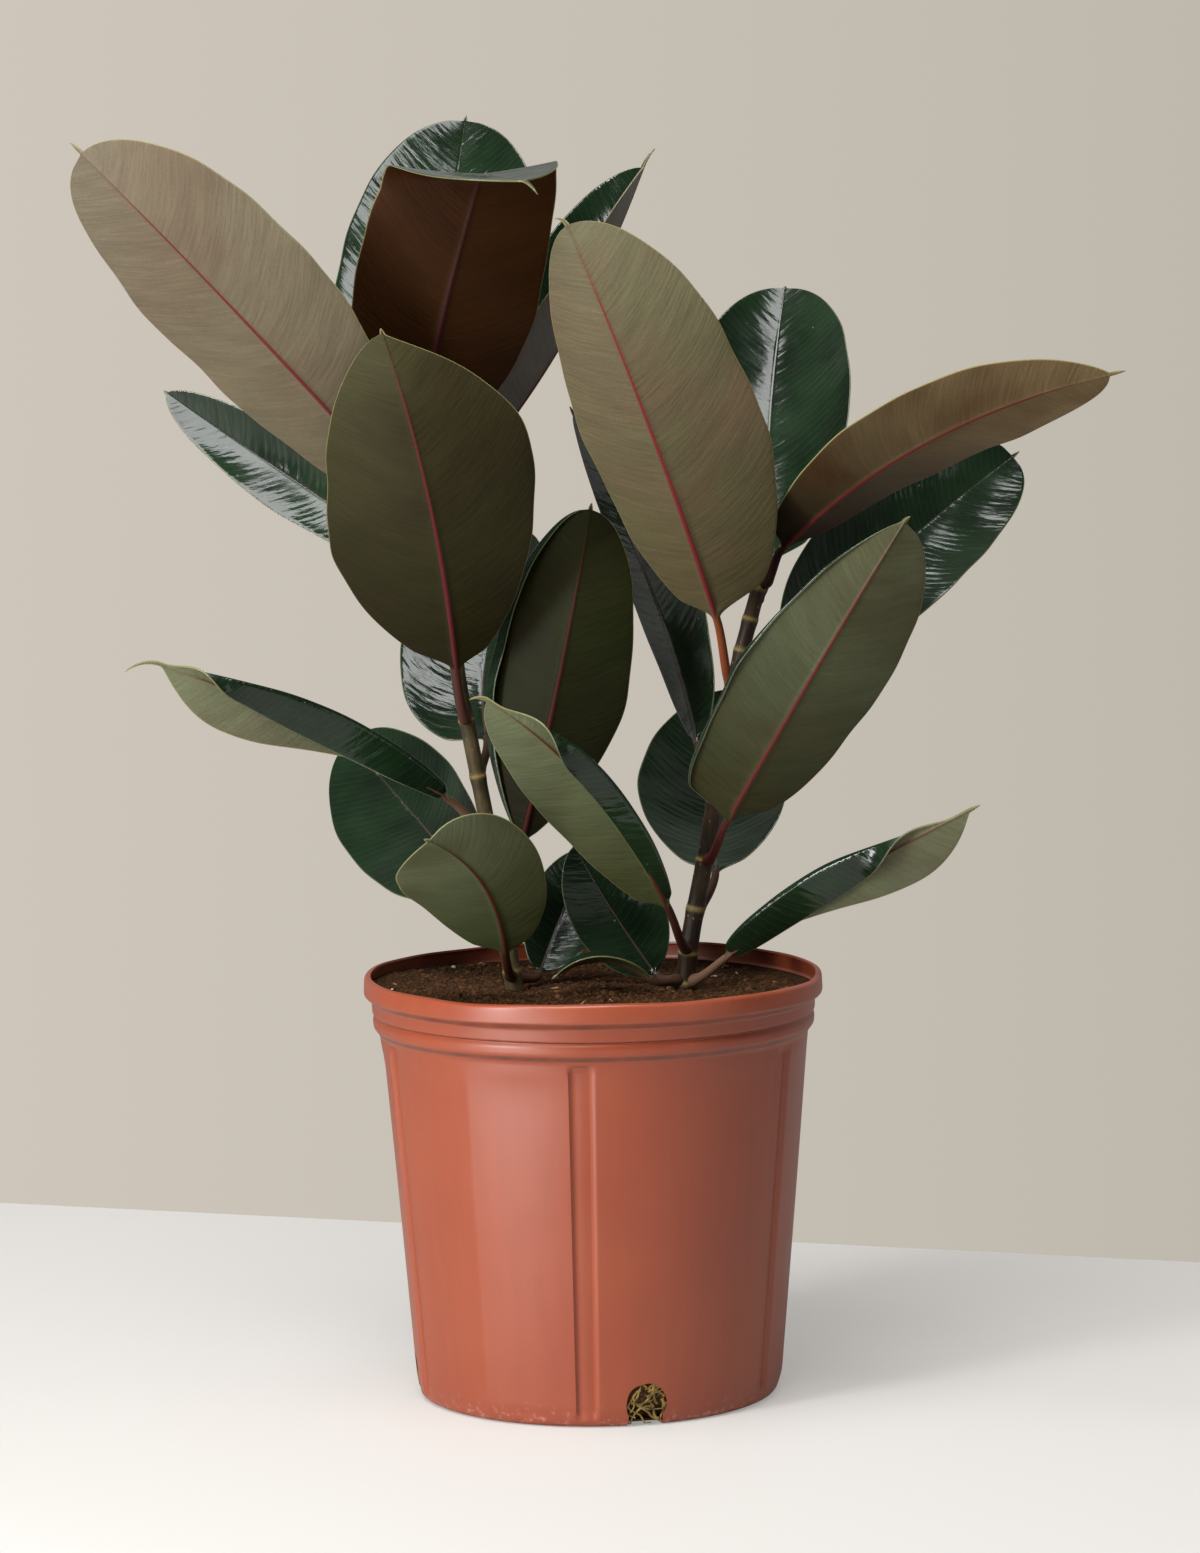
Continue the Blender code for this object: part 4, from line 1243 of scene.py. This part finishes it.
def stalk_rows(leaf, upper_count, under_count):
    """Rings of the stalk, from inside the cane to the blade, flared where it leaves the cane."""
    foot = np.array(leaf.grows_from, float)
    foot = foot + (nearest_axis(foot) - foot) * STALK_SUNK
    end, along, up, _ = (value[0] for value in midrib_at(leaf, 0.0))
    reach = np.linalg.norm(end - foot)
    flat = np.array((end[0] - foot[0], end[1] - foot[1], 0.0)) / reach
    first = foot + unit(unit(end - foot) * 0.6 + flat) * reach * STALK_PULL
    second = end - along * reach * STALK_PULL
    t = np.linspace(0, 1, STALK_ROWS, endpoint=False)[:, None]
    centre = (1 - t) ** 3 * foot + 3 * t * (1 - t) ** 2 * first + 3 * t * t * (1 - t) * second + t**3 * end
    ways = unit((1 - t) ** 2 * (first - foot) + 2 * t * (1 - t) * (second - first) + t * t * (end - second))
    flat_up = unit(up - np.sum(up * ways, axis=1, keepdims=True) * ways)
    flare = STALK_FLARE * np.exp(-(((t * reach - 3) / 3.5) ** 2))
    radius = STALK_FOOT + (STALK_TOP - STALK_FOOT) * t + flare
    return ring_round(centre, flat_up, np.cross(ways, flat_up), radius, upper_count, under_count)


def ring_round(centre, up, side, radius, upper_count, under_count):
    """Circles whose points pair with those of the blade's rings."""
    angles = np.concatenate([pi - pi * np.arange(upper_count) / (upper_count - 1),
                             -pi * np.arange(1, under_count + 1) / (under_count + 1)])[None, :, None]
    radius = np.asarray(radius, float).reshape(-1, 1, 1)
    ring = side[:, None, :] * np.cos(angles) + up[:, None, :] * np.sin(angles)
    return centre[:, None, :] + ring * radius


def make_leaf(leaf, phase):
    """The leaf's closed skin. Its values tell the materials where the veins and margins run."""
    u, drip, place, up, side = midrib_rows(leaf)
    run = np.concatenate([[0], np.cumsum(np.linalg.norm(np.diff(place, axis=0), axis=1))])
    tail = DRIP_HALF * smooth_step(u, 0.86, 0.995) * (1 - drip) ** 0.75 + 0.12 * (drip > 0)
    parts = []
    for index in (0, 1):
        width = leaf.half[index] * spread(u, leaf.widest[index], leaf.fullness[index], leaf.taper[index])
        uneven = 1 + 0.012 * np.sin(run / 17 + phase + 3 * index) + 0.006 * np.sin(run / 6.1 + 2 * phase)
        width = np.hypot(width * uneven, tail)
        shares = columns_of(leaf.rolled[index])
        parts.append((width, shares, *half_section(leaf, index, u, width, shares)))
    (left_width, left_shares, left_out, left_rise, left_slope) = parts[0]
    (right_width, right_shares, right_out, right_rise, right_slope) = parts[1]
    middle = np.zeros((len(u), 1))
    out = np.concatenate([-left_out[:, ::-1], middle, right_out], axis=1)
    rise = np.concatenate([left_rise[:, ::-1], middle, right_rise], axis=1)
    slope = np.concatenate([-left_slope[:, ::-1], middle, right_slope], axis=1)
    share = np.concatenate([left_shares[::-1], [0], right_shares])[None, :] + middle
    away = np.concatenate([-left_shares[::-1] * left_width[:, None], middle,
                           right_shares * right_width[:, None]], axis=1)
    to_edge = (1 - share) * np.where(away < 0, left_width[:, None], right_width[:, None])

    wander = 0.22 * np.sin(run[:, None] / 15 + phase)
    wander = wander + 0.12 * np.sin(run[:, None] / 6.7 + np.sign(away) + phase)
    lean = VEIN_LEAN[0] + (VEIN_LEAN[1] - VEIN_LEAN[0]) * u[:, None]
    vein = (run[:, None] - lean * np.abs(away) - VEIN_CURVE * away**2) / VEIN_PITCH + wander
    ripple = leaf.wave * share**2.5 * np.sin(run[:, None] / 12.5 + phase * 2 + 2 * np.sign(away))
    swell = ripple * np.sin(pi * np.clip(u[:, None], 0, 1)) ** 0.5 * np.abs(away) / 55
    to_margin = np.clip((share - MARGIN_FROM) / (1 - MARGIN_FROM), 0, 1)
    half_thick = BLADE / 2 * np.sqrt(1 - to_margin**2)
    half_thick = np.minimum(half_thick, 0.12 + 0.45 * np.maximum(left_width, right_width)[:, None])
    rib_wide = MIDRIB_WIDE * (1 - 0.8 * u[:, None]) * (1 - 0.5 * drip[:, None])
    rib = np.exp(-((away / rib_wide) ** 2))
    keel = MIDRIB_HIGH * (1 - 0.75 * u[:, None]) * (1 - 0.9 * drip[:, None]) * rib
    groove = GROOVE * (1 - 0.8 * u[:, None]) * np.exp(-((away / (rib_wide * 0.7)) ** 2))
    groove = groove * (drip[:, None] == 0)

    point = place[:, None, :] + side[:, None, :] * out[:, :, None] + up[:, None, :] * rise[:, :, None]
    normal = up[:, None, :] * np.cos(slope)[:, :, None] - side[:, None, :] * np.sin(slope)[:, :, None]
    upper = point + normal * (swell + half_thick - groove)[:, :, None]
    under = point + normal * (swell - half_thick - keel)[:, :, None]
    upper_count = upper.shape[1]
    under_count = upper_count - 2
    blade = np.concatenate([upper, under[:, -2:0:-1]], axis=1)
    round_base = ring_round(place, up, side, STALK_TOP, upper_count, under_count)
    from_stalk = (1 - smooth_step(u, 0.0, 0.05))[:, None, None]
    blade = blade * (1 - from_stalk) + round_base * from_stalk
    if leaf.turned_down:
        blade = fold_under(leaf, blade)
    stalk = stalk_rows(leaf, upper_count, under_count)
    rings = np.concatenate([stalk, blade]) * MM

    def all_round(values, on_stalk):
        ring = np.concatenate([values, values[:, -2:0:-1]], axis=1)
        return np.concatenate([np.broadcast_to(on_stalk, (STALK_ROWS, ring.shape[1])), ring])

    stalk_share = np.linspace(0, 1, STALK_ROWS, endpoint=False)[:, None]
    mesh = closed_skin(leaf.name, rings)
    stalk_tint = (1 - smooth_step(u, 0.0, 0.022))[:, None] * (1 - smooth_step(np.abs(away), 2.0, 5.0))
    base_rib = np.maximum(rib, stalk_tint)
    add_values(
        mesh,
        vein=all_round(vein, stalk_share * 0),
        rib=all_round(base_rib, stalk_share * 0 + 1),
        edge=all_round(to_edge, stalk_share * 0 + 9),
        away=all_round(away, stalk_share * 0),
        share=all_round(u[:, None] + middle + 0 * away, stalk_share * 0),
        stalk=all_round(stalk_tint, stalk_share * 0 + 1),
    )
    count = rings.shape[1]
    face = np.arange(len(mesh.polygons))
    row, column = face // count, face % count
    below = (column >= upper_count - 1) | (row < STALK_ROWS)
    mesh.polygons.foreach_set("material_index", below.astype(np.int32))
    return mesh


def leaf_value(tree, name):
    """A number that the leaf's skin carries at each point."""
    return add_node(tree, "ShaderNodeAttribute", dict(attribute_name=name)).outputs["Fac"]


def from_vein(tree):
    """0 on a side vein and 0.5 half-way to the next."""
    shifted = add_node(
        tree, "ShaderNodeMath", dict(operation="ADD"), {0: leaf_value(tree, "vein"), 1: 200.0}
    )
    return add_node(tree, "ShaderNodeMath", dict(operation="PINGPONG"), {0: shifted, 1: 0.5})


def along_veins(tree, scale, detail):
    """Noise drawn out along the side veins."""
    way = add_node(
        tree, "ShaderNodeCombineXYZ", inputs={"X": leaf_value(tree, "vein"), "Y": leaf_value(tree, "away")}
    )
    stretched = add_node(tree, "ShaderNodeMapping", inputs={"Vector": way, "Scale": scale})
    return add_node(
        tree, "ShaderNodeTexNoise", inputs={"Vector": stretched, "Scale": 1.0, "Detail": detail}
    )


def leaf_upper():
    """The upper side: a thick waxy cuticle over dark green. The blade swells softly between its side
    veins, 4.6 mm apart, so the sheen breaks into bands. Dried water leaves a few pale specks."""
    material, tree, shader = new_material(
        "ficus leaf, upper side, waxed", {"IOR": 1.46, "Specular IOR Level": 0.55}
    )
    place = add_node(tree, "ShaderNodeTexCoord").outputs["Object"]
    patch = add_node(
        tree, "ShaderNodeTexNoise", inputs={"Vector": place, "Scale": 1 / (45 * MM), "Detail": 4}
    )
    share = add_node(tree, "ShaderNodeMapRange", inputs={0: patch, 1: 0.35, 2: 0.65})
    green = add_node(tree, "ShaderNodeMix", MIX, {0: share, 6: linear("#0f1c10"), 7: linear("#1c301c")})
    wave = from_vein(tree)
    vein_line = add_node(tree, "ShaderNodeMapRange", inputs={0: wave, 1: 0.08, 2: 0.0, 3: 0.0, 4: 0.14})
    veined = add_node(tree, "ShaderNodeMix", MIX, {0: vein_line, 6: green, 7: linear("#3f5c3e")})
    rib = add_node(
        tree, "ShaderNodeMapRange", dict(interpolation_type="SMOOTHSTEP"),
        {0: leaf_value(tree, "rib"), 1: 0.68, 2: 0.95, 3: 0.0, 4: 0.7},
    )
    ribbed = add_node(tree, "ShaderNodeMix", MIX, {0: rib, 6: veined, 7: linear("#5c4640")})
    margin = add_node(
        tree, "ShaderNodeMapRange", inputs={0: leaf_value(tree, "edge"), 1: 0.75, 2: 0.25, 3: 0.0, 4: 0.6}
    )
    edged = add_node(tree, "ShaderNodeMix", MIX, {0: margin, 6: ribbed, 7: linear("#7d8462")})
    cells = add_node(tree, "ShaderNodeTexVoronoi", inputs={"Vector": place, "Scale": 1 / (6.5 * MM)})
    rare = add_node(tree, "ShaderNodeSeparateColor", inputs={0: cells.outputs["Color"]})
    speck_size = add_node(tree, "ShaderNodeMapRange", inputs={0: rare, 1: 0.72, 2: 1.0, 3: 0.0, 4: 0.09})
    nearer = add_node(
        tree, "ShaderNodeMath", dict(operation="LESS_THAN"), {0: cells.outputs["Distance"], 1: speck_size}
    )
    speck = add_node(tree, "ShaderNodeMath", dict(operation="MULTIPLY"), {0: nearer, 1: 0.35})
    specked = add_node(tree, "ShaderNodeMix", MIX, {0: speck, 6: edged, 7: linear("#9fb0a0")})
    film = add_node(
        tree, "ShaderNodeTexNoise", inputs={"Vector": place, "Scale": 1 / (14 * MM), "Detail": 5}
    )
    rough = add_node(tree, "ShaderNodeMapRange", inputs={0: film, 1: 0.3, 2: 0.7, 3: 0.1, 4: 0.19})
    round_way = add_node(
        tree, "ShaderNodeMath", dict(operation="MULTIPLY"), {0: leaf_value(tree, "vein"), 1: 2 * pi}
    )
    swell = add_node(tree, "ShaderNodeMath", dict(operation="COSINE"), {0: round_way})
    off_rib = add_node(tree, "ShaderNodeMath", dict(operation="ABSOLUTE"), {0: leaf_value(tree, "away")})
    inner = add_node(tree, "ShaderNodeMapRange", inputs={0: off_rib, 1: 1.0, 2: 8.0})
    outer_fade = add_node(tree, "ShaderNodeMapRange", inputs={0: leaf_value(tree, "edge"), 1: 2.0, 2: 14.0})
    strong = add_node(tree, "ShaderNodeMapRange", inputs={0: patch, 1: 0.3, 2: 0.7, 3: 0.35, 4: 1.0})
    height = swell
    for fade in (inner, outer_fade, strong):
        height = add_node(tree, "ShaderNodeMath", dict(operation="MULTIPLY"), {0: height, 1: fade})
    sag = add_node(
        tree, "ShaderNodeTexNoise", inputs={"Vector": place, "Scale": 1 / (52 * MM), "Detail": 1}
    )
    slack = add_node(tree, "ShaderNodeBump", inputs={"Height": sag, "Strength": 1.0, "Distance": 5 * MM})
    quilt = add_node(
        tree, "ShaderNodeBump",
        inputs={"Height": height, "Strength": 1.0, "Distance": 0.045 * MM, "Normal": slack},
    )
    bump = add_node(
        tree, "ShaderNodeBump",
        inputs={"Height": along_veins(tree, (0.8, 0.045, 1), 3.0), "Strength": 0.6, "Distance": 0.9 * MM,
                "Normal": quilt},
    )
    tree.links.new(specked.outputs[2], shader.inputs["Base Color"])
    tree.links.new(rough.outputs[0], shader.inputs["Roughness"])
    tree.links.new(bump.outputs[0], shader.inputs["Normal"])
    return material


# The under side of each leaf, in tones that hold both its own colour as it has aged and painted light and
# shade:
# the dark and burgundy tones are in good part painted shade, and each tone is darker beside the stalk than
# at the
# tip, partly as painted shade. For each: its colour beside the stalk, its colour at the tip, its flush, and
# its midrib and stalk.
UNDER_TONES_AND_PAINTED_SHADE = {
    "tan": ("#6f654e", "#776c5a", "#6d5b49", "#6f2a2c", "#6a3c2e"),
    "burgundy": ("#2e1706", "#3c2208", "#341a09", "#3c1418", "#30140f"),
    "grey": ("#7c7670", "#8a8480", "#8c7870", "#7a3c3c", "#4a3c30"),
    "moss": ("#242009", "#3f3c24", "#2a2010", "#65262a", "#523028"),
    "khaki": ("#5a5236", "#656049", "#685240", "#76282c", "#8a4a2c"),
    "rust": ("#130901", "#84704f", "#3f2109", "#67211f", "#30160f"),
    "dark": ("#1b1c0a", "#272a11", "#21190d", "#481e1a", "#3a1f18"),
    "fresh": ("#424829", "#6c7256", "#464426", "#552c20", "#482a20"),
    "sage": ("#30331a", "#64684e", "#443c27", "#66302a", "#552a26"),
    "pale": ("#5e5f48", "#707458", "#5d5442", "#6d3c34", "#6d5240"),
    "olive": ("#4f5334", "#5c6040", "#54462f", "#622c28", "#4c3628"),
}


def leaf_under(tone):
    """The under side: no wax, so a dry satin, softly clouded, with side veins that stand just proud,
    a fine net between them, a crimson midrib that fades towards the tip, and a thin pale margin."""
    near, far, flush, midrib, stalk_colour = UNDER_TONES_AND_PAINTED_SHADE[tone]
    material, tree, shader = new_material(f"ficus leaf, under side, {tone}", {"Specular IOR Level": 0.1})
    place = add_node(tree, "ShaderNodeTexCoord").outputs["Object"]
    share = leaf_value(tree, "share")
    # The colour runs from the stalk end to the tip; the darker stalk end is partly painted shade.
    body = add_node(tree, "ShaderNodeMix", MIX, {0: share, 6: linear(near), 7: linear(far)})
    cloud = add_node(
        tree, "ShaderNodeTexNoise", inputs={"Vector": place, "Scale": 1 / (60 * MM), "Detail": 2}
    )
    blush = add_node(tree, "ShaderNodeMapRange", inputs={0: cloud, 1: 0.42, 2: 0.68, 3: 0.0, 4: 0.55})
    flushed = add_node(tree, "ShaderNodeMix", MIX, {0: blush, 6: body, 7: linear(flush)})
    streak = along_veins(tree, (2.1, 0.05, 1), 4.0)
    shade = add_node(tree, "ShaderNodeMapRange", inputs={0: streak, 1: 0.3, 2: 0.7, 3: 0.91, 4: 1.08})
    streaked = add_node(tree, "ShaderNodeMix", MULTIPLY, {0: 1.0, 6: flushed, 7: shade})
    band = along_veins(tree, (0.42, 0.03, 1), 2.0)
    band_shade = add_node(tree, "ShaderNodeMapRange", inputs={0: band, 1: 0.35, 2: 0.65, 3: 0.93, 4: 1.06})
    banded = add_node(tree, "ShaderNodeMix", MULTIPLY, {0: 1.0, 6: streaked, 7: band_shade})
    wave = from_vein(tree)
    vein_line = add_node(tree, "ShaderNodeMapRange", inputs={0: wave, 1: 0.07, 2: 0.0, 3: 1.0, 4: 1.12})
    veined = add_node(tree, "ShaderNodeMix", MULTIPLY, {0: 1.0, 6: banded, 7: vein_line})
    net = add_node(
        tree, "ShaderNodeTexNoise", inputs={"Vector": place, "Scale": 1 / (1.3 * MM), "Detail": 3}
    )
    net_shade = add_node(tree, "ShaderNodeMapRange", inputs={0: net, 1: 0.3, 2: 0.7, 3: 0.93, 4: 1.07})
    netted = add_node(tree, "ShaderNodeMix", MULTIPLY, {0: 1.0, 6: veined, 7: net_shade})
    margin = add_node(
        tree, "ShaderNodeMapRange", inputs={0: leaf_value(tree, "edge"), 1: 0.85, 2: 0.3, 3: 0.0, 4: 0.7}
    )
    edged = add_node(tree, "ShaderNodeMix", MIX, {0: margin, 6: netted, 7: linear("#9c9464")})
    rib = add_node(
        tree, "ShaderNodeMapRange", dict(interpolation_type="SMOOTHSTEP"),
        {0: leaf_value(tree, "rib"), 1: 0.42, 2: 0.68, 3: 0.0, 4: 0.95},
    )
    fade = add_node(tree, "ShaderNodeMapRange", inputs={0: share, 1: 0.8, 2: 0.99, 3: 1.0, 4: 0.1})
    rib_share = add_node(tree, "ShaderNodeMath", dict(operation="MULTIPLY"), {0: rib, 1: fade})
    ribbed = add_node(tree, "ShaderNodeMix", MIX, {0: rib_share, 6: edged, 7: linear(midrib)})
    stalked = add_node(
        tree, "ShaderNodeMix", MIX, {0: leaf_value(tree, "stalk"), 6: ribbed, 7: linear(stalk_colour)}
    )
    rough = add_node(tree, "ShaderNodeMapRange", inputs={0: streak, 1: 0.3, 2: 0.7, 3: 0.48, 4: 0.6})
    grain = add_node(tree, "ShaderNodeBump", inputs={"Height": net, "Strength": 0.2, "Distance": 0.2 * MM})
    ridges = add_node(
        tree, "ShaderNodeBump",
        inputs={"Height": vein_line, "Strength": 1.0, "Distance": 0.3 * MM, "Normal": grain},
    )
    lines = add_node(
        tree, "ShaderNodeBump",
        inputs={"Height": streak, "Strength": 0.45, "Distance": 1 * MM, "Normal": ridges},
    )
    tree.links.new(stalked.outputs[2], shader.inputs["Base Color"])
    tree.links.new(rough.outputs[0], shader.inputs["Roughness"])
    tree.links.new(lines.outputs[0], shader.inputs["Normal"])
    return material


upper_side = leaf_upper()
# One under-side material for each tone: copies of one surface, some of them coloured in painted shade.
under_sides = {tone: leaf_under(tone) for tone in UNDER_TONES_AND_PAINTED_SHADE}
for number, leaf in enumerate(LEAVES):
    blade = shown(f"{leaf.name}_leaf", make_leaf(leaf, 1.7 * number), upper_side, under_sides[leaf.tone])
    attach(blade, "root")
    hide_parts(f"leaf_{leaf.name}")

# ---------------------------------------------------------------------------------------------
# Studio. A table whose back edge runs a little off square and whose white is partly a painted glow, a
# warm grey wall beyond it that is painted lighter to the left, one large soft light from the left, and
# weaker ones from above and the right. None of it is the object.

TABLE_BACK = ((-0.4166, 0.6176), (0.3918, 0.3524))
TABLE_REACH = 4.0
TABLE_DEPTH = 6.4
CAMERA_PLACE = (0.0054, -3.30, 0.7346)
CAMERA_TILT = 6.4
CAMERA_ROLL = -0.75
CAMERA_LENS = 131.5

back_left, back_right = (np.array(point) for point in TABLE_BACK)
edge_way = unit(back_right - back_left)
front_way = np.array((edge_way[1], -edge_way[0]))
middle = (back_left + back_right) / 2
left = middle - edge_way * TABLE_REACH
right = middle + edge_way * TABLE_REACH
corners = [left, left + front_way * TABLE_DEPTH, right + front_way * TABLE_DEPTH, right]
table_mesh = bpy.data.meshes.new("studio_table")
table_mesh.from_pydata([(*corner, 0.0) for corner in corners], [], [(0, 1, 2, 3)])
table_material, table_tree, table_shader = new_material("laminate, white, matt", {"Roughness": 0.6})
table_shader.inputs["Base Color"].default_value = linear("#b9b7b3")
table_shader.inputs["Emission Color"].default_value = linear("#fffcf8")
# Painted light: the table glows a little to everything and more to the camera, so it looks whiter and its
# shadows paler than the lamps make them.
seen_first = add_node(table_tree, "ShaderNodeLightPath").outputs["Is Camera Ray"]
painted_glow = add_node(table_tree, "ShaderNodeMapRange", inputs={0: seen_first, 3: 0.06, 4: 0.3})
table_tree.links.new(painted_glow.outputs[0], table_shader.inputs["Emission Strength"])
table_shader.inputs["Specular IOR Level"].default_value = 0.2
table = shown("studio_table", table_mesh, table_material)

world = bpy.data.worlds.new("studio")
world.use_nodes = True
bpy.context.scene.world = world
sky = world.node_tree
sky.nodes.clear()
way = add_node(sky, "ShaderNodeTexCoord").outputs["Generated"]
parts = add_node(sky, "ShaderNodeSeparateXYZ", inputs={0: way})
# Painted light: the wall that the camera sees is painted lighter to the left, where the key light falls, and
# darker to the right.
painted_light_falloff = add_node(sky, "ShaderNodeMapRange", inputs={0: parts.outputs["X"], 1: -0.11, 2: 0.11})
wall = add_node(sky, "ShaderNodeMix", MIX, {0: painted_light_falloff, 6: linear("#cec6bb"), 7: linear("#bfb8ad")})
seen = add_node(sky, "ShaderNodeBackground", inputs={"Color": wall, "Strength": 1.0})
behind = add_node(
    sky, "ShaderNodeMapRange", inputs={0: parts.outputs["Y"], 1: -0.3, 2: 0.6, 3: 0.075, 4: 0.42}
)
fill = add_node(sky, "ShaderNodeBackground", inputs={"Color": linear("#e6e3de"), "Strength": behind})
to_camera = add_node(sky, "ShaderNodeLightPath").outputs["Is Camera Ray"]
both = add_node(sky, "ShaderNodeMixShader", inputs={0: to_camera, 1: fill, 2: seen})
add_node(sky, "ShaderNodeOutputWorld", inputs={0: both})


def soft_light(name, place, target, size, watts):
    """A softbox of width and height size, at place, turned to the target."""
    lamp = bpy.data.lights.new(name, "AREA")
    lamp.shape = "RECTANGLE"
    lamp.size, lamp.size_y = size
    lamp.energy = watts
    box = bpy.data.objects.new(name, lamp)
    box.location = place
    box.rotation_euler = (Vector(target) - Vector(place)).to_track_quat("-Z", "Y").to_euler()
    bpy.context.scene.collection.objects.link(box)


soft_light("key_left", (-1.88, -1.75, 1.05), (0, 0, 0.4), (0.5, 1.6), 52)
soft_light("low_left", (-0.52, -0.62, 0.03), (0, 0, 0.13), (0.5, 0.2), 2.0)
soft_light("top", (-0.35, -0.7, 2.25), (0, 0, 0.3), (1.4, 1.4), 50)
soft_light("fill_right", (2.2, -1.9, 0.9), (0, 0, 0.35), (1.0, 1.6), 4)

camera = bpy.data.objects.new("camera", bpy.data.cameras.new("camera"))
camera.data.lens = CAMERA_LENS
camera.data.sensor_width = 36
camera.location = CAMERA_PLACE
aim = Matrix.Rotation(radians(90 - CAMERA_TILT), 3, "X") @ Matrix.Rotation(radians(CAMERA_ROLL), 3, "Z")
camera.rotation_euler = aim.to_euler()
bpy.context.scene.collection.objects.link(camera)
bpy.context.scene.camera = camera
bpy.context.scene.view_settings.view_transform = "Standard"
